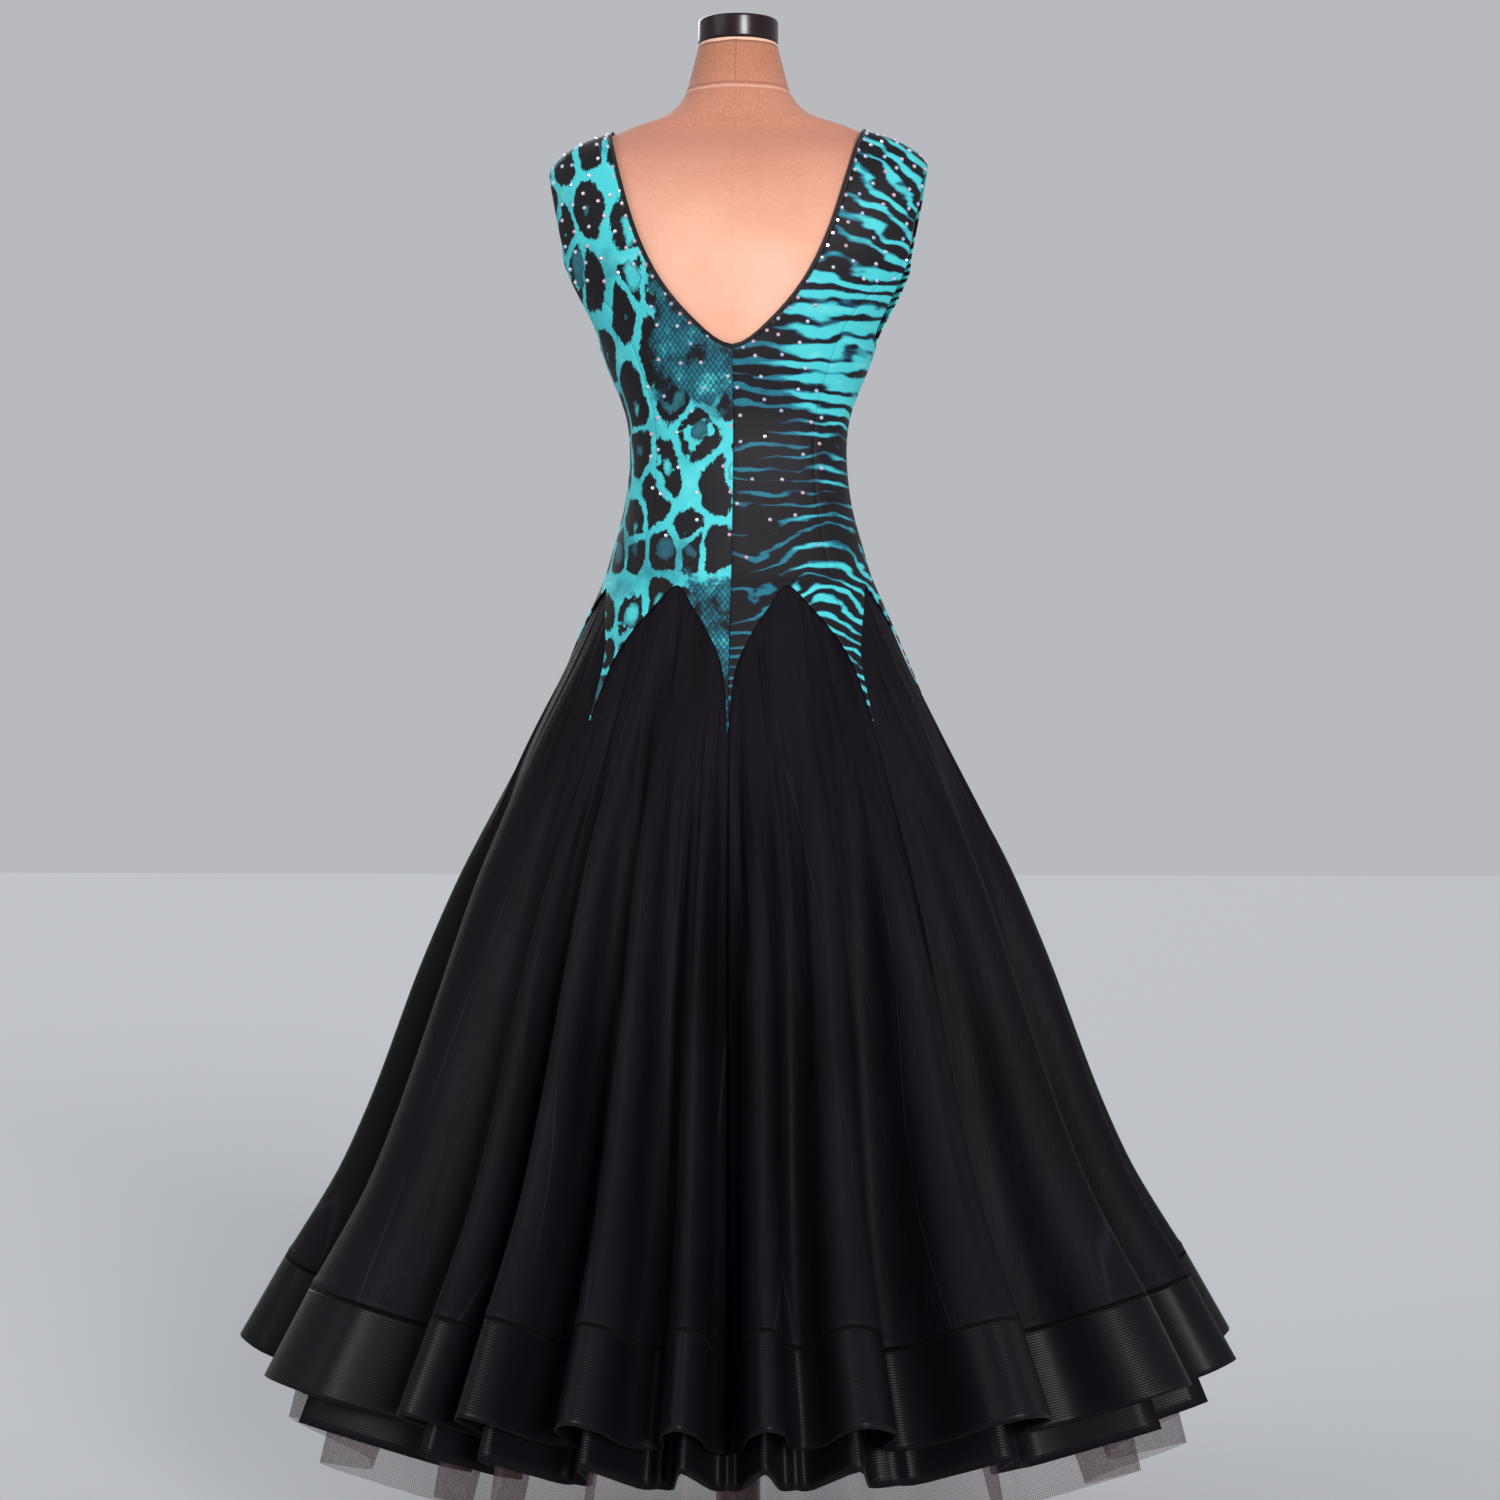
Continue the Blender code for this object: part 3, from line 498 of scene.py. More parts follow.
def spots_on(cloth, middle):
    """Big cat rosettes, smaller lower down: ragged black blots, some with hearts, on a turquoise web.

    The middle of the print is this far round from the centre back."""
    shrink = 1.16 - cloth.axis(cloth.place(), 1).step(*ROSETTES_GROW) * 0.16
    centred = cloth.place((1.42, 0.86, 1.0), (1.42 * middle, -1.10, 0))
    grown = cloth.node("ShaderNodeVectorMath", {"operation": "SCALE"}, {0: centred, "Scale": shrink})
    loose = cloth.shifted(grown, cloth.noise(cloth.place(), 13.0, 2.0, 0.5, 1), 0.048)
    fur = cloth.noise(cloth.place((150.0, 90.0, 1.0)), 1.0, 5.0, 0.85, 1)
    ragged = cloth.shifted(loose, fur, 0.020)
    size = cloth.noise(cloth.place(), 15.0, 2.0) * 0.36 + 0.36
    edge = cloth.cells(ragged, ROSETTE_CELLS, "DISTANCE_TO_EDGE", 0.8)
    inward = cloth.cells(ragged, ROSETTE_CELLS, "F1", 0.8)
    luck = cloth.axis(cloth.cells(ragged, ROSETTE_CELLS, "F1", 0.8, 1), 0)
    second_luck = cloth.axis(cloth.cells(ragged, ROSETTE_CELLS, "F1", 0.8, 1), 1)
    web = cloth.noise(cloth.place((1, 1, 1), (4.0, 0, 0)), 20.0, 2.0) * 0.22 - 0.035
    gaps = cloth.noise(cloth.place((1, 1, 1), (9.0, 0, 0)), 32.0, 3.0)
    broken = gaps.step(0.56, 0.60) * luck.step(0.50, 0.56)
    blot = (edge - web).step(0.0, 0.03) * (1 - (inward - size).step(0.0, 0.035)) * (1 - broken)
    torn = cloth.noise(cloth.place((1, 1, 1), (7.0, 0, 0)), 60.0, 4.0, 0.7) - 0.5
    reach = (luck - 0.24) * 0.46 + torn * 0.20
    heart = 1 - (inward - reach).step(0.0, 0.035)
    fade = cloth.noise(cloth.place(), 12.0, 4.0, 0.6).step(0.46, 0.72)
    pale = cloth.noise(cloth.place((1, 1, 1), (2.0, 0, 0)), 30.0, 4.0, 0.6).step(0.5, 0.8)
    ground = cloth.blend(pale * 0.35, TURQUOISE, PALE_TURQUOISE)
    ground = cloth.blend(fade * 0.8, ground, TEAL)
    ground = cloth.blend(heart * second_luck.step(0.45, 0.6) * 0.8, ground, DARK_BLUE)
    soft = 1 - (inward - reach).step(-0.10, 0.035)
    ground = cloth.blend(heart * (1 - soft) * 0.7, ground, DARK_BLUE)
    rosettes = cloth.blend(blot * (1 - heart), ground, PRINT_BLACK)
    return cloth.blend(patches(cloth), rosettes, scales_on(cloth))


def stripes_on(cloth):
    """Tiger stripes, wavy and forked. They slant on the strap, fan over the hip and darken at the centre."""
    across = cloth.axis(cloth.place(), 0).math("ABSOLUTE")
    down = cloth.axis(cloth.place(), 1)
    hip = 1 - down.step(*HIP_FAN)
    strap = down.step(*STRAP_SLANT)
    aside = across - 0.105
    apart = (aside * aside + 0.0009).math("SQRT").math("MINIMUM", 0.085)
    level = down + apart * hip * 0.8 + (across - 0.12) * strap * 0.65
    below = (WIDER_BELOW - level).math("MAXIMUM", 0.0)
    above = (level - WIDER_ABOVE).math("MAXIMUM", 0.0)
    count = level * STRIPES - below * 24 - above * 17
    sway = cloth.noise(cloth.place((7.0, 15.0, 1.0)), 1.0, 2.0) - 0.5
    fork = cloth.noise(cloth.place((17.0, 40.0, 1.0)), 1.0, 2.0) - 0.5
    clump = cloth.noise(cloth.place((9.0, 24.0, 1.0), (5.0, 0, 0)), 1.0, 2.0) - 0.5
    ragged = cloth.noise(cloth.place((60.0, 150.0, 1.0)), 1.0, 4.0, 0.7) - 0.5
    bands = (count + sway * 2.6 + fork * 1.5 + ragged * 0.28).wave()
    taper = cloth.noise(cloth.place((11.0, 62.0, 1.0), (3.0, 0, 0)), 1.0, 2.0, 0.5) - 0.5
    centre = 1 - across.step(0.0, 0.10)
    waist = 1 - (down - WAIST).math("ABSOLUTE").step(0.03, 0.12)
    neck = strap * (1 - across.step(0.10, 0.17))
    bright = down.step(1.27, 1.31) * (1 - down.step(1.40, 1.46)) * across.step(0.03, 0.09)
    dark = (centre * 0.40 + waist * 0.40 + neck * 0.40).math("MINIMUM", 0.52) - bright * 0.55
    light = bands * 0.62 + taper * 2.3 + clump * (centre + waist) * 0.9 - dark + 0.05
    tint = cloth.blend(light.step(0.0, 0.35), DARK_BLUE, TEAL)
    tint = cloth.blend((light - centre * 0.45 - waist * 0.1 - neck * 0.3).step(0.12, 0.60), tint, TURQUOISE)
    pale = cloth.noise(cloth.place((20.0, 60.0, 1.0)), 1.0, 3.0).step(0.5, 0.8)
    tint = cloth.blend(pale * light.step(0.5, 1.2) * 0.6, tint, PALE_TURQUOISE)
    return cloth.blend(light.step(-0.04, 0.14), PRINT_BLACK, tint)


def knit(cloth):
    """The jersey's fine knit, seen as a slight roughness of the surface."""
    ribs = (cloth.axis(cloth.place(), 0) * KNIT_RIBS).wave()
    cloth.bump(ribs * 0.5 + cloth.noise(cloth.place(), 900.0), KNIT_DEPTH, 0.6)


spotted = Finish("spotted_jersey", Roughness=0.55, Specular_IOR_Level=0.25)
spotted.feed(Base_Color=spots_on(spotted, BACK_SPOTS))
knit(spotted)
striped = Finish("striped_jersey", Roughness=0.55, Specular_IOR_Level=0.25)
striped.feed(Base_Color=stripes_on(striped))
knit(striped)
front_print = Finish("front_jersey", Roughness=0.55, Specular_IOR_Level=0.25)
wavering = front_print.axis(front_print.solid(), 0) + front_print.noise(front_print.place(), 20.0, 3.0) * 0.05
right_half = (wavering - 0.025).step(-0.002, 0.002)
front_print.feed(
    Base_Color=front_print.blend(right_half, spots_on(front_print, FRONT_SPOTS), stripes_on(front_print)),
)
knit(front_print)

bodice_grids = {}
panels = {}
for name, kind in PANELS:
    grid = seamed(finer(grid_of(name, PANEL_COLUMNS), PANEL_HALVINGS, PANEL_HALVINGS))
    bodice_grids[name] = grid
    panel = sheet_object(name + "_cloth", grid, BODICE_WALL, wrapped(grid))
    give(panel, spotted if kind == "spotted" else striped)
    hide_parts(name)
    panels[name] = panel

half_front = finer(grid_of("bodice_front", PANEL_COLUMNS, half=True), PANEL_HALVINGS, PANEL_HALVINGS)
half_front[:, -1, 0] = np.where(half_front[:, -1, 0] < FOLD_SNAP, 0.0, half_front[:, -1, 0])
bodice_grids["bodice_front"] = half_front
halves = []
for side, grid in (("right", half_front), ("left", half_front[:, ::-1] * (-1, 1, 1))):
    halves.append(sheet_object("front_" + side, grid, 0, wrapped(grid)))
front = joined(halves, "bodice_front_cloth")
start_edit(front)
bpy.ops.mesh.select_all(action="SELECT")
bpy.ops.mesh.remove_doubles(threshold=JOIN)
bpy.ops.object.mode_set(mode="OBJECT")
wall = front.modifiers.new("wall", "SOLIDIFY")
wall.thickness = BODICE_WALL
wall.offset = -1
give(front, front_print)
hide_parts("bodice_front")
panels["bodice_front"] = front

# ---------------------------------------------------------------- the neck binding
# A bias strip of black satin is folded over the neck edge of the bodice and stitched down, all the way
# round. It is made as a tube with the strip's folded profile, along the edge of its node.

TAPE_PROFILE = (              # across the tape as a share of its width, and how high above the cloth
    (-0.10, -0.0012), (-0.16, -0.0004), (-0.02, 0.0004), (0.25, 0.0009), (0.60, 0.0010), (0.90, 0.0005),
    (1.03, -0.0003), (0.90, -0.0012),
)
TAPE_HALVINGS = 2             # how often the points along the tape are halved
BIAS_THREADS = 1100           # threads and stitches for each metre
STITCHES = 400
satin = Finish("binding_satin", Roughness=0.34)
bias = (satin.axis(satin.place(), 0) * BIAS_THREADS + satin.axis(satin.place(), 1) * BIAS_THREADS).wave()
stitch = (satin.axis(satin.place(), 0) * STITCHES).wave()
satin.feed(Base_Color=satin.blend(bias * 0.3 + 0.4, colour(9, 8, 11), colour(34, 30, 38)))
satin.bump(bias + stitch * 1.5, 0.0001)

band = outer_side("neck_binding", ring=False)
edges = [vert for vert in band.verts if vert.is_boundary]
loops = []
while edges:
    loop = [min(edges, key=lambda vert: vert.co.z)]
    while True:
        ahead = [
            edge.other_vert(loop[-1]) for edge in loop[-1].link_edges
            if edge.is_boundary and edge.other_vert(loop[-1]) not in loop
        ]
        if not ahead:
            break
        loop.append(max(ahead, key=lambda vert: vert.co.x) if len(loop) == 1 else ahead[0])
    edges = [vert for vert in edges if vert not in loop]
    loops.append(loop)
outer_loop = max(loops, key=lambda loop: sum(abs(vert.co.x) for vert in loop))
inner_loop = min(loops, key=lambda loop: sum(abs(vert.co.x) for vert in loop))
pairs = []
for vert in outer_loop:
    other = min(inner_loop, key=lambda spot: (spot.co - vert.co).length)
    pairs.append((vert.co[:], other.co[:]))
# The path is a ring of pairs of points, first on the tape's inner edge and then on its outer one.
neck_path = np.moveaxis(np.array(pairs)[:, ::-1], 0, 1)
neck_path = np.moveaxis(finer(neck_path, 0, TAPE_HALVINGS, closed=True), 1, 0)
width = neck_path[:, 1] - neck_path[:, 0]
tangent = np.roll(neck_path, -1, axis=0)[:, 0] - np.roll(neck_path, 1, axis=0)[:, 0]
above = np.cross(tangent, width)
above /= np.linalg.norm(above, axis=1, keepdims=True)
middle = neck_path.mean(axis=(0, 1))
away = ((neck_path.mean(axis=1) - middle)[:, :2] * above[:, :2]).sum(axis=1)
above *= np.where(away.sum() < 0, -1, 1)
tape = np.stack([neck_path[:, 0] + width * share + above * rise for share, rise in TAPE_PROFILE], axis=1)
tape = np.concatenate([tape, tape[:1]])
tape = np.concatenate([tape, tape[:, :1]], axis=1)
flat = np.stack([lengths(tape, 0), lengths(tape, 1)], axis=2)
binding = sheet_object("neck_binding_tape", tape, 0, flat)
start_edit(binding)
bpy.ops.mesh.select_all(action="SELECT")
bpy.ops.mesh.remove_doubles(threshold=SAME_POINT)
bpy.ops.mesh.normals_make_consistent(inside=False)
bpy.ops.object.mode_set(mode="OBJECT")
give(binding, satin)
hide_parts("neck_binding")

# ---------------------------------------------------------------- the stones
# Small flat-backed crystals are glued on: a row just outside the binding, and others scattered over the
# straps and the upper back and chest, thinning out towards the waist.

STONE_RADIUS = 0.0025
STONE_SIDES = 8
STONE_FACETS = ((0.80, 0.45), (0.48, 0.75))     # the radius and height where each ring of facets ends
ROW_SPACING = 0.0155          # the row along the binding: from stone to stone, and from the neck edge
ROW_INSET = 0.0065
ROW_CLEAR = 0.6               # a stone of the row needs this share of the spacing to the others
SCATTER = (                   # a height, the share of places taken there, and how far apart they are
    (1.12, 0.00, 0.030), (1.15, 0.45, 0.027), (1.24, 0.60, 0.024), (1.32, 0.70, 0.021), (1.42, 0.85, 0.017),
    (1.60, 1.00, 0.0145),
)
TRIES = 9000                  # how many places are tried on each panel
TAKEN = 0.05                  # a place is taken with this chance, times the share that SCATTER gives
NECK_CLEAR = 0.014            # scattered stones are further from the neck edge than this,
CENTRE_REACH = 0.095          # and no further from the centre than this, other than on the straps
STRAP_FROM, SCATTER_TOP = 1.42, 1.60
FIRST_SEED = 5
UPWARD = 0.9                  # a face whose normal is this upright faces up

crystal = Finish("crystal", Roughness=0.08, Metallic=0.75, Coat_Weight=1.0, Coat_Roughness=0.03)
tint = crystal.noise(crystal.solid(), 70.0, 1.0)
ice = crystal.blend(tint.step(0.40, 0.50), colour(255, 205, 222), colour(238, 244, 255))
crystal.feed(Base_Color=crystal.blend(tint.step(0.56, 0.64), ice, colour(196, 214, 255)))


def places_on(name, seed):
    """Places on a panel for stones, and the cloth's normal at each."""
    grid = bodice_grids[name]
    normals = outward(grid)
    random = np.random.default_rng(seed)
    rows, wide = grid.shape[:2]
    path = neck_path[:, 0]
    heights, shares, distances = zip(*SCATTER)
    kept = []
    for i, j in zip(random.integers(1, rows - 1, TRIES), random.integers(1, wide - 1, TRIES)):
        spot = grid[i, j]
        share = np.interp(spot[2], heights, shares)
        apart = np.interp(spot[2], heights, distances)
        edge = np.linalg.norm(path - spot, axis=1).min()
        near = abs(spot[0]) < CENTRE_REACH or spot[2] > STRAP_FROM
        if random.random() > share * TAKEN or edge < NECK_CLEAR or spot[2] > SCATTER_TOP or not near:
            continue
        if all(np.linalg.norm(spot - other) > apart for other, _ in kept):
            kept.append((spot, normals[i, j]))
    along = np.concatenate([[0], np.cumsum(np.linalg.norm(np.diff(path, axis=0), axis=1))])
    for k in range(int(along[-1] / ROW_SPACING)):
        spot = np.array([np.interp((k + 0.5) * ROW_SPACING, along, path[:, axis]) for axis in range(3)])
        gaps = np.linalg.norm(grid - spot, axis=2)
        if gaps.min() < ROW_INSET:
            i, j = np.unravel_index(np.abs(gaps - ROW_INSET).argmin(), gaps.shape)
            if all(np.linalg.norm(grid[i, j] - other) > ROW_SPACING * ROW_CLEAR for other, _ in kept):
                kept.append((grid[i, j], normals[i, j]))
    return kept


def select_faces(piece, wanted):
    """In edit mode: the faces that are wanted are selected, and no others."""
    mesh = bmesh.from_edit_mesh(piece.data)
    for face in mesh.faces:
        face.select = wanted(face)
    bmesh.update_edit_mesh(piece.data)


def shrink_and_turn(share, angle):
    """In edit mode: what is selected shrinks towards its middle, and turns about the upright axis."""
    bpy.ops.transform.resize(value=(share, share, 1))
    bpy.ops.transform.rotate(value=angle, orient_axis="Z", center_override=(0, 0, 0))


def cut_crystal():
    """The mesh of one crystal on its flat back, with two rings of facets up to a flat top."""
    (wide, low), (narrow, high) = STONE_FACETS
    depth = STONE_RADIUS * low
    bpy.ops.object.select_all(action="DESELECT")
    bpy.ops.mesh.primitive_cylinder_add(
        vertices=STONE_SIDES, radius=STONE_RADIUS, depth=depth, location=(0, 0, depth / 2), calc_uvs=False,
    )
    stone = bpy.context.object
    bpy.ops.object.transform_apply(location=True)
    start_edit(stone)
    bpy.ops.mesh.select_mode(type="FACE")
    select_faces(stone, lambda face: face.normal.z > UPWARD)
    shrink_and_turn(wide, pi / STONE_SIDES)
    rise = STONE_RADIUS * high - depth
    bpy.ops.mesh.extrude_region_move(TRANSFORM_OT_translate={"value": (0, 0, rise)})
    shrink_and_turn(narrow / wide, pi / STONE_SIDES)
    select_faces(stone, lambda face: len(face.verts) == 4)
    bpy.ops.mesh.quads_convert_to_tris(quad_method="SHORTEST_DIAGONAL")
    bpy.ops.object.mode_set(mode="OBJECT")
    cut_mesh = stone.data
    cut_mesh.materials.append(crystal.material)
    bpy.data.objects.remove(stone)
    return cut_mesh


def stones_object(name, places):
    """Copies of the crystal on a panel, each turned to lie flat on the cloth."""
    stones = []
    for spot, normal in places:
        side = np.cross(normal, (0.3, 0.2, 1.0))
        side /= np.linalg.norm(side)
        laid = np.stack([side, np.cross(normal, side), normal, spot], axis=1)
        stone = bpy.data.objects.new(name, crystal_mesh.copy())
        stone.data.transform(Matrix(laid.tolist() + [(0, 0, 0, 1)]))
        bpy.context.scene.collection.objects.link(stone)
        stones.append(stone)
    piece = joined(stones, name)
    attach(piece, "root")
    return piece


crystal_mesh = cut_crystal()
for seed, (name, panel) in enumerate(panels.items()):
    places = places_on(name, seed + FIRST_SEED)
    if name == "bodice_front":
        places += [(spot * (-1, 1, 1), normal * (-1, 1, 1)) for spot, normal in places]
    extras = [stones_object("stones_" + name, places)] if places else []
    if name == "bodice_front":
        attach(binding, "root")
        extras.append(binding)
    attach(panel, "root")
    flat_size, flat_area = cut(bodice_grids[name])
    halves = 2 if name == "bodice_front" else 1
    flat_size[0] * halves
    flat_area * halves

# ---------------------------------------------------------------- the skirt: two layers with their braid
# Eight wide godets of black organza are set in under the bodice's points and fall in deep flutes, over a
# second layer of eight. A band of horsehair braid, ribbed along its length, is sewn to the foot of each and
# holds the flutes out.

SECTORS = (
    "back_right", "side_back_right", "side_front_right", "front_right",
    "front_left", "side_front_left", "side_back_left", "back_left",
)
ORGANZA_WALL = 0.0010
BRAID_WALL = 0.0012
TUCKS_FADE = (0.32, 0.43)     # the small tucks above the braid fade out between these heights
FRESH_GATHERS = (-0.55, 0.0)  # and the gathers between the top of the godet and this far down
ORGANZA_RELIEF = 0.0005
BRAID_RIBS = 380              # ribs for each metre of its width
BRAID_STITCHED = (-0.0045, -0.0025)              # its stitched edge, in from its top
BRAID_RELIEF = 0.00006

organza = Finish("black_organza", Specular_IOR_Level=0.07)
threads = organza.noise(organza.place((900.0, 14.0, 1.0)), 1.0, 2.0)
clouds = organza.noise(organza.place((14.0, 3.0, 1.0), chart="folds"), 1.0, 3.0)
gathers = organza.noise(organza.place((130.0, 5.0, 1.0), chart="folds"), 1.0, 3.0, 0.6)
crush = organza.noise(organza.place((42.0, 3.0, 1.0), chart="folds"), 1.0, 5.0, 0.65)
above_hem = 1 - organza.axis(organza.solid(), 2).step(*TUCKS_FADE)
tucks = organza.noise(organza.solid((50.0, 50.0, 18.0)), 1.0, 2.0, 0.5) * above_hem
fresh = organza.axis(organza.place(), 1).step(*FRESH_GATHERS)
wandering = organza.noise(organza.place((15.0, 0.7, 1.0), (3.0, 0, 0), "folds"), 1.0, 3.0, 0.4)
patchy = organza.noise(organza.place((12.0, 5.0, 1.0), (8.0, 0, 0), "folds"), 1.0, 2.0).step(0.46, 0.62)
# Painted highlight: thin paler lines, in patches, where light catches the edges of creases; the same lines
# raise the bump a little.
crease_highlight = (1 - (wandering - 0.5).math("ABSOLUTE").step(0.0, 0.008)) * patchy
sheer = organza.blend(clouds.step(0.3, 0.7), colour(9, 7, 11), colour(19, 16, 22))
organza.feed(
    Base_Color=organza.blend(crease_highlight * 0.3, sheer, colour(44, 38, 48)),
    Roughness=threads * 0.2 + 0.5,
)
organza.bump(gathers * fresh * 4.0 + crush * 6.0 + tucks * 5.0 + threads * 0.6 + crease_highlight, ORGANZA_RELIEF)

braid_finish = Finish("horsehair_braid", Anisotropic=0.5, Specular_IOR_Level=0.10)
rib = (braid_finish.axis(braid_finish.place(), 1) * BRAID_RIBS).wave()
hairs = braid_finish.noise(braid_finish.place((1500.0, 60.0, 1.0)), 1.0, 2.0)
stitched = 1 - braid_finish.axis(braid_finish.place(), 1).step(*BRAID_STITCHED)
braid_finish.feed(
    Base_Color=braid_finish.blend((rib * 0.25 + 0.4) * stitched, colour(5, 5, 7), colour(25, 22, 29)),
    Roughness=hairs * 0.15 + 0.9 - stitched * 0.58,
)
braid_finish.bump(rib + hairs * 0.4, BRAID_RELIEF)

# The creases of each godet of the back: where one starts and ends across the godet, and then down it, as
# shares of its width and length, how wide it is, and how far it stands out, or in if less than nothing.
CREASES = {
    "back_left": (
        (0.50, 0.65, 0.00, 0.24, 0.0050, -0.0034),
        (0.57, 0.61, 0.03, 0.20, 0.0030, -0.0016),
        (0.46, 0.60, 0.14, 0.62, 0.0090, -0.0060),
        (0.62, 0.60, 0.14, 0.60, 0.0060, 0.0030),
        (0.83, 0.86, 0.16, 0.62, 0.0055, -0.0034),
        (0.30, 0.33, 0.04, 0.36, 0.0040, -0.0024),
        (0.21, 0.20, 0.10, 0.50, 0.0060, -0.0036),
        (0.36, 0.37, 0.22, 0.70, 0.0040, 0.0018),
        (0.12, 0.16, 0.24, 0.66, 0.0045, 0.0020),
        (0.73, 0.74, 0.20, 0.58, 0.0045, 0.0024),
        (0.92, 0.93, 0.30, 0.90, 0.0040, -0.0020),
    ),
    "back_right": (
        (0.22, 0.28, 0.04, 0.26, 0.0050, -0.0042),
        (0.62, 0.50, 0.00, 0.24, 0.0036, 0.0028),
        (0.54, 0.66, 0.16, 0.64, 0.0085, -0.0060),
        (0.03, 0.11, 0.20, 0.54, 0.0070, -0.0045),
        (0.11, 0.23, 0.16, 0.60, 0.0060, 0.0030),
        (0.31, 0.37, 0.18, 0.56, 0.0050, -0.0030),
        (0.76, 0.74, 0.05, 0.42, 0.0045, -0.0026),
        (0.86, 0.84, 0.22, 0.70, 0.0050, 0.0022),
        (0.43, 0.44, 0.30, 0.82, 0.0045, 0.0020),
    ),
    "side_back_right": (
        (0.20, 0.26, 0.06, 0.44, 0.0050, -0.0034),
        (0.46, 0.38, 0.02, 0.30, 0.0040, 0.0022),
        (0.66, 0.70, 0.14, 0.60, 0.0065, -0.0040),
        (0.84, 0.80, 0.05, 0.36, 0.0040, -0.0020),
        (0.55, 0.56, 0.34, 0.86, 0.0045, 0.0020),
    ),
    "side_back_left": (
        (0.72, 0.80, 0.06, 0.48, 0.0055, -0.0036),
        (0.52, 0.60, 0.02, 0.32, 0.0040, -0.0022),
        (0.88, 0.92, 0.18, 0.64, 0.0060, -0.0034),
        (0.34, 0.30, 0.10, 0.54, 0.0050, 0.0026),
        (0.18, 0.20, 0.24, 0.76, 0.0045, -0.0022),
    ),
}
CREASED_LIKE = {              # the godets of the front are creased as these are, mirrored
    "front_left": "back_right", "front_right": "back_left",
    "side_front_left": "side_back_right", "side_front_right": "side_back_left",
}
SEAM_STILL = 0.008            # the creases die away this close to the godet's edges
GATHERS = 26                  # small gathers under each arch
GATHER_REACH = (0.05, 0.20)   # how far down the godet they run, as shares of its length
GATHER_WIDTH = (0.0012, 0.0026)                 # how wide and how high they are
GATHER_RISE = 0.0007
HEM_ROWS = 5                  # rows added above the braid, where the organza blouses over its seam
HEM_PUFF = 0.0010             # how far it blouses out, where, and how far that reaches
HEM_PUFF_FROM_EDGE = 0.0065
HEM_PUFF_REACH = 0.0035


def smooth(value, low, high):
    """0 below low, 1 above high, and smooth between them."""
    share = np.clip((value - low) / (high - low), 0, 1)
    return share * share * (3 - 2 * share)


def creased(grid, godet, seed):
    """The godet's grid with its creases, the gathers under its arch, and a puffed edge above the braid."""
    spots = [grid[-2] + (grid[-1] - grid[-2]) * share for share in np.linspace(0, 1, HEM_ROWS + 2)[1:-1]]
    grid = np.concatenate([grid[:-1], np.stack(spots), grid[-1:]])
    down = lengths(grid, 0)
    along = lengths(grid, 1)
    width = along[:, -1:]
    share_down = down / down[-1:]
    share_across = np.linspace(0, 1, grid.shape[1])[None, :]
    still = 1 - ridge(np.minimum(along, width - along), SEAM_STILL)
    rise = np.zeros(grid.shape[:2])
    source = CREASED_LIKE.get(godet, godet)
    for start_across, end_across, start, end, crease_width, height in CREASES[source]:
        run = (share_down - start) / (end - start)
        middle = start_across + (end_across - start_across) * np.clip(run, 0, 1)
        middle = middle if source == godet else 1 - middle
        fade = smooth(run, -0.05, 0.3) * (1 - smooth(run, 0.55, 1.05))
        rise += height * fade * ridge((share_across - middle) * width, crease_width)
    random = np.random.default_rng(seed)
    for k in range(GATHERS):
        middle = (k + random.uniform(0.2, 0.8)) / GATHERS
        reach = random.uniform(*GATHER_REACH)
        wide = random.uniform(*GATHER_WIDTH)
        height = GATHER_RISE * random.uniform(0.4, 1.0) * random.choice((-1, 1))
        lean = middle + (middle - 0.5) * 0.1 * share_down
        fade = 1 - smooth(share_down, 0.2 * reach, reach)
        rise += height * fade * ridge((share_across - lean) * width, wide)
    from_hem = down[-1:] - down
    waviness = 0.6 + 0.4 * np.sin(share_across * random.uniform(30, 44) + random.uniform(0, 6))
    puff = HEM_PUFF * waviness * ridge(from_hem - HEM_PUFF_FROM_EDGE, HEM_PUFF_REACH)
    rise = rise * still + puff
    return grid + outward(grid) * rise[..., None]


def node_grid(name, rows, down, across):
    """The grid of a node that has this many rows of points, halved so often down and across."""
    points = len(outer_side(name, ring=False).verts)
    return finer(grid_of(name, points // rows), down, across)


def hang(name, grid, wall, finish, gathered=True):
    """A layer of the skirt in its node's place. Gathered cloth also has a chart that follows its folds."""
    flat = np.stack([lengths(grid, 1), -lengths(grid, 0)], axis=2)
    folds = None
    if gathered:
        folds = np.stack([flat[..., 0] / flat[:, -1:, 0] * flat[..., 0].mean(), flat[..., 1]], axis=2)
    layer = sheet_object(name + "_cloth", grid, wall, flat, folds)
    give(layer, finish)
    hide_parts(name)
    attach(layer, "root")
    flat_size, flat_area = cut(grid)


LAYERS = (                    # nodes, their rows of points, halvings down and across, wall, finish and slot
    ("godet", 8, 3, 2, ORGANZA_WALL, organza, "black_organza"),
    ("braid", 2, 4, 2, BRAID_WALL, braid_finish, "crinoline_braid"),
    ("underskirt", 6, 2, 2, ORGANZA_WALL, organza, "under_organza"),
    ("underbraid", 2, 3, 2, BRAID_WALL, braid_finish, "under_braid"),
)
for prefix, rows, down, across, wall, finish, slot in LAYERS:
    for seed, position in enumerate(SECTORS):
        grid = node_grid(prefix + "_" + position, rows, down, across)
        if prefix == "godet":
            grid = creased(grid, position, seed)
        hang(prefix + "_" + position, grid, wall, finish)

# ---------------------------------------------------------------- the net petticoat
# Under the two layers hangs a petticoat of stiff net in eight gores. It is the longest layer, and sheer
# enough to see the stand through its hem.

NET_ROUNDING = 3              # the flutes are evened this many times where the springy net hangs free
NET_FREE = (0.90, 0.97)       # which is below here, as shares of its length
NET_ROWS = 6                  # rows of points in a node of the net, and how often they are halved
NET_HALVINGS = 2
NET_MESH = 520.0              # holes for each metre

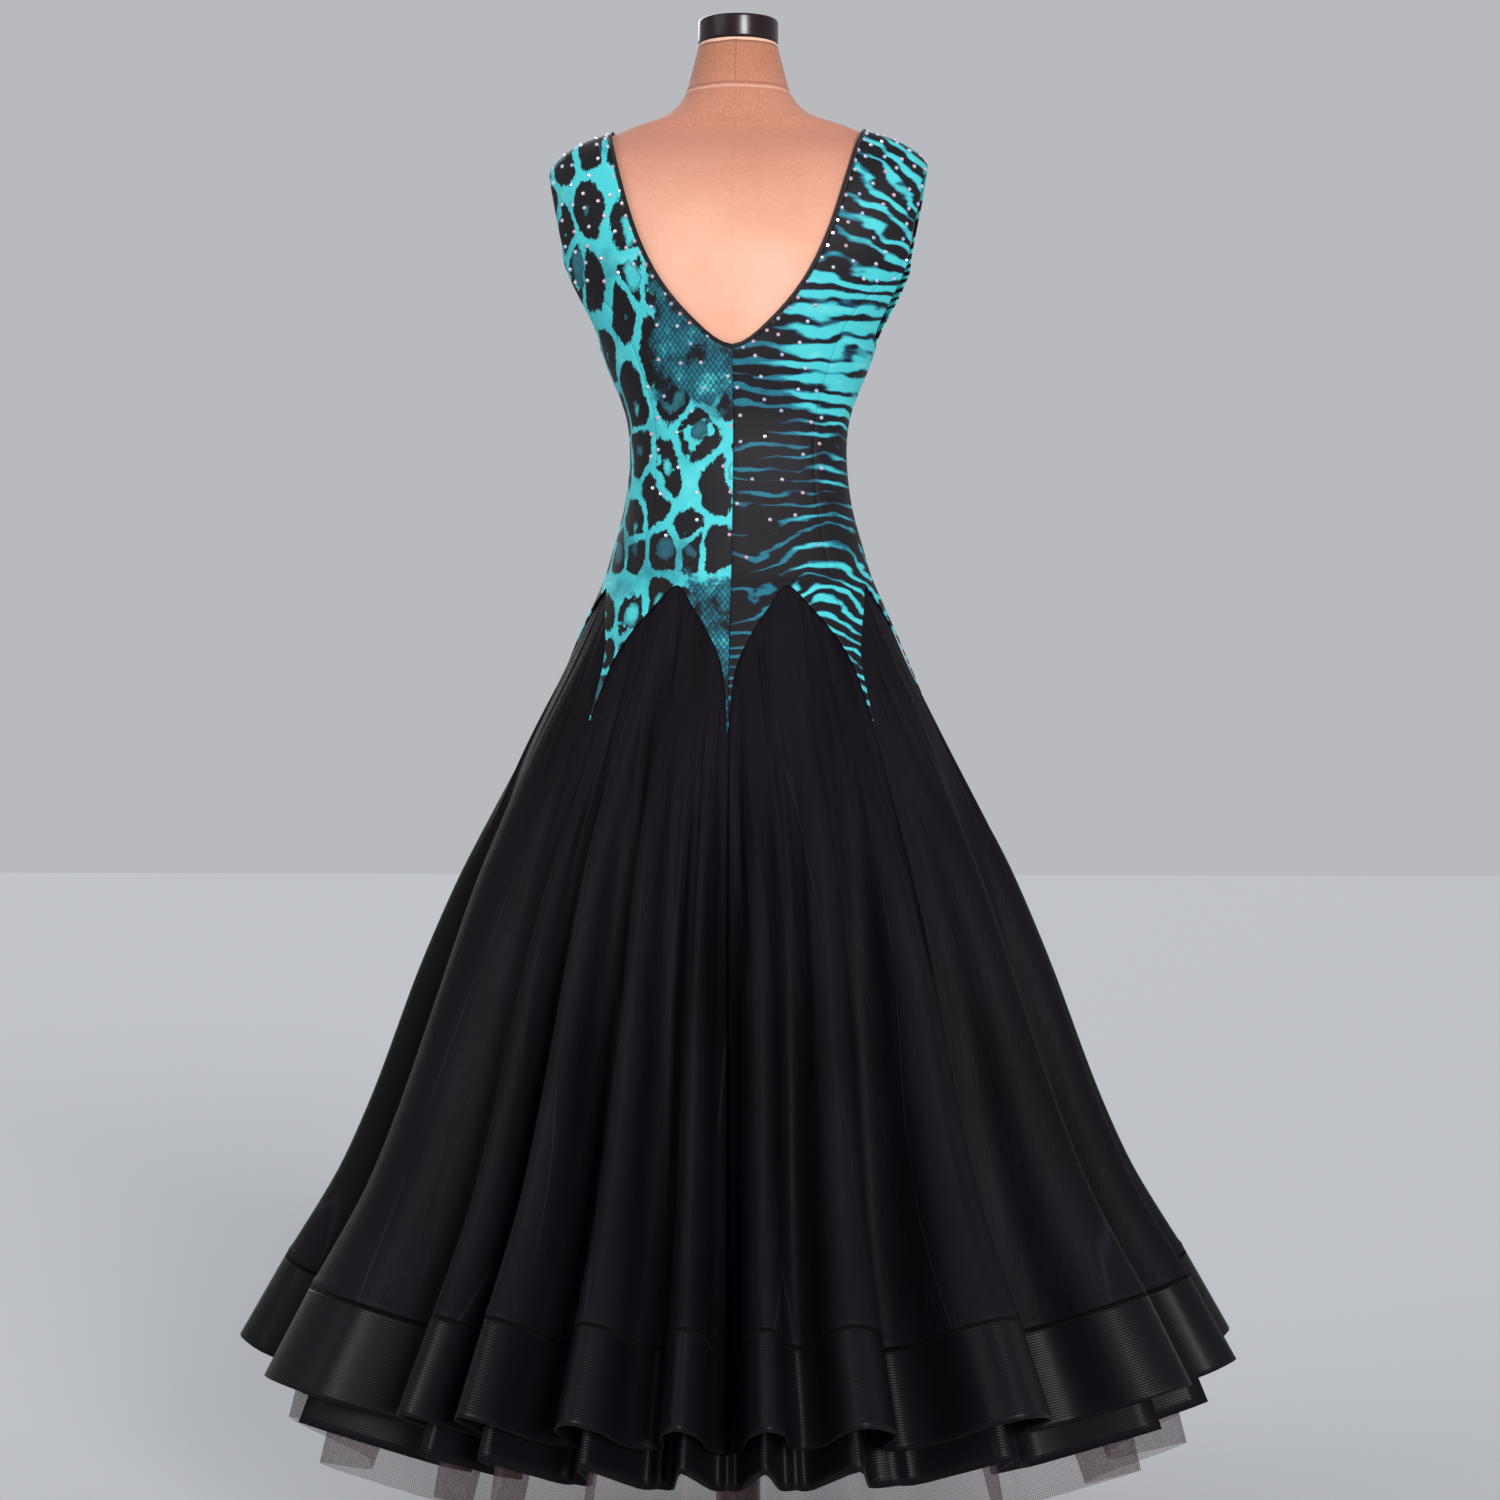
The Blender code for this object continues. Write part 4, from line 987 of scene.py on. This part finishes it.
net = Finish("stiff_net", Roughness=0.7)
mesh_lines = net.cells(net.place(), NET_MESH, "DISTANCE_TO_EDGE", 0.15)
net.feed(
    Base_Color=net.blend(net.noise(net.place(), 20.0), colour(46, 28, 33), colour(72, 45, 50)),
    Alpha=(1 - mesh_lines.step(0.05, 0.17)) * 0.50 + 0.24,
)
for position in SECTORS:
    grid = node_grid("petticoat_" + position, NET_ROWS, NET_HALVINGS, NET_HALVINGS)
    even = grid.copy()
    for _ in range(NET_ROUNDING):
        even[:, 1:-1] = (even[:, :-2] + 2 * even[:, 1:-1] + even[:, 2:]) / 4
    share_down = lengths(grid, 0) / lengths(grid, 0)[-1:]
    grid = grid + (even - grid) * smooth(share_down, *NET_FREE)[..., None]
    hang("petticoat_" + position, grid, 0, net, gathered=False)

# ---------------------------------------------------------------- the cap, pole and foot
# A turned and lacquered cap closes the neck. The form stands on a steel pole with a dark lacquer, which is
# set in a heavy round foot with a stepped top.

CAP_RADIUS = 0.044
CAP_LOW = 1.6953
CAP_HIGH = 1.7223
CAP_STEP = (0.012, 0.0012)    # how far the top face is inset, and then raised
POLE_RADIUS = 0.0245
POLE_LOW = 0.0343
POLE_TOP = 0.9677
FOOT_RADIUS = 0.200
FOOT_RIM = 0.012
FOOT_STEPS = ((0.137, 0.007), (0.021, 0.015))
TURNED_SIDES = 96
EDGE_ROUND, POLE_EDGE_ROUND = 0.003, 0.0008
CORNER = radians(8)           # a level edge that is bent more than this is rounded

cap_lacquer = Finish(
    "cap_lacquer", Roughness=0.26, Specular_IOR_Level=0.3, Coat_Weight=0.1, Coat_Roughness=0.2,
)
streaks = cap_lacquer.noise(cap_lacquer.solid((40.0, 40.0, 4.0)), 1.0, 3.0)
cap_lacquer.feed(Base_Color=cap_lacquer.blend(streaks, colour(8, 5, 7), colour(34, 12, 16)))
pole_lacquer = Finish("pole_lacquer", Coat_Weight=0.5, Coat_Roughness=0.12)
worn = pole_lacquer.noise(pole_lacquer.solid(), 60.0, 5.0, 0.7)
pole_lacquer.feed(
    Base_Color=pole_lacquer.blend(worn.step(0.35, 0.8), colour(34, 16, 17), colour(66, 34, 32)),
    Roughness=worn * 0.25 + 0.18,
)


def turned(name, radius, low, high, finish, node, steps=(), edge_round=EDGE_ROUND):
    """A turned piece: a round bar whose top face is inset and raised in steps, with its edges rounded."""
    bpy.ops.object.select_all(action="DESELECT")
    bpy.ops.mesh.primitive_cylinder_add(
        vertices=TURNED_SIDES, radius=radius, depth=high - low, location=(0, 0, (low + high) / 2),
    )
    piece = bpy.context.object
    piece.name = piece.data.name = name
    bpy.ops.object.transform_apply(location=True)
    start_edit(piece)
    bpy.ops.mesh.select_mode(type="FACE")
    select_faces(piece, lambda face: face.normal.z > UPWARD)
    for inset, rise in steps:
        bpy.ops.mesh.inset(thickness=inset)
        bpy.ops.transform.translate(value=(0, 0, rise))
    bpy.ops.mesh.select_all(action="DESELECT")
    bpy.ops.mesh.select_mode(type="EDGE")
    mesh = bmesh.from_edit_mesh(piece.data)
    for edge in mesh.edges:
        level = abs(edge.verts[0].co.z - edge.verts[1].co.z) < SAME_POINT
        edge.select = level and abs(edge.calc_face_angle(0)) > CORNER
    bmesh.update_edit_mesh(piece.data)
    bpy.ops.mesh.bevel(offset=edge_round, segments=4, profile=0.6)
    bpy.ops.object.mode_set(mode="OBJECT")
    piece.data.shade_smooth()
    give(piece, finish)
    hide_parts(node)
    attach(piece, "root")


turned(
    "neck_cap", CAP_RADIUS, CAP_LOW, CAP_HIGH - CAP_STEP[1], cap_lacquer, "form_neck_cap",
    steps=[CAP_STEP],
)
turned(
    "pole", POLE_RADIUS, POLE_LOW, POLE_TOP, pole_lacquer, "form_pole",
    edge_round=POLE_EDGE_ROUND,
)
turned("foot", FOOT_RADIUS, 0, FOOT_RIM, pole_lacquer, "form_base", steps=FOOT_STEPS)

# ---------------------------------------------------------------- floor, lights and camera
# A pale paper floor runs out to a pale sky, and soft light falls from three sides. The camera is level and
# stands behind the dress, turned a little to its right.

FLOOR_SIZE = 40
SKY = (0.80, 0.82, 0.86, 1.0)
SKY_POWER = 0.60
VIEW_TURN = radians(3.5)
VIEW_DISTANCE = 3.5
VIEW_HEIGHT = 0.92
VIEW_ASIDE = 0.013
LENS = 76.4
SENSOR = 36

bpy.ops.mesh.primitive_plane_add(size=FLOOR_SIZE, location=(0, 0, 0))
floor = bpy.context.object
floor.name = "floor"
paper = Finish("pale_floor", Base_Color=(0.60, 0.61, 0.63, 1.0), Roughness=0.95, Specular_IOR_Level=0.1)
floor.data.materials.append(paper.material)


def soft_light(name, place, target, spread, power):
    """A far light from this side, whose size is a spread in degrees."""
    light = bpy.data.lights.new(name, "SUN")
    light.angle = radians(spread)
    light.energy = power
    lamp = bpy.data.objects.new(name, light)
    lamp.location = place
    lamp.rotation_euler = (Vector(target) - Vector(place)).to_track_quat("-Z", "Y").to_euler()
    bpy.context.scene.collection.objects.link(lamp)


soft_light("key", (1.3, -3.4, 1.9), (0, 0, 1.1), 16, 2.7)
soft_light("fill", (-3.0, -2.4, 2.6), (0, 0, 0.8), 40, 0.5)
soft_light("rim", (-1.6, 3.4, 2.8), (0, 0, 1.0), 30, 0.9)
world = bpy.data.worlds.new("studio")
world.use_nodes = True
world.node_tree.nodes["Background"].inputs["Color"].default_value = SKY
world.node_tree.nodes["Background"].inputs["Strength"].default_value = SKY_POWER
bpy.context.scene.world = world
bpy.context.scene.view_settings.view_transform = "Standard"

camera_data = bpy.data.cameras.new("camera")
camera_data.sensor_width = SENSOR
camera_data.lens = LENS
camera = bpy.data.objects.new("camera", camera_data)
camera.location = (VIEW_DISTANCE * sin(VIEW_TURN) + VIEW_ASIDE, -VIEW_DISTANCE * cos(VIEW_TURN), VIEW_HEIGHT)
camera.rotation_euler = (pi / 2, 0, VIEW_TURN)
bpy.context.scene.collection.objects.link(camera)
bpy.context.scene.camera = camera
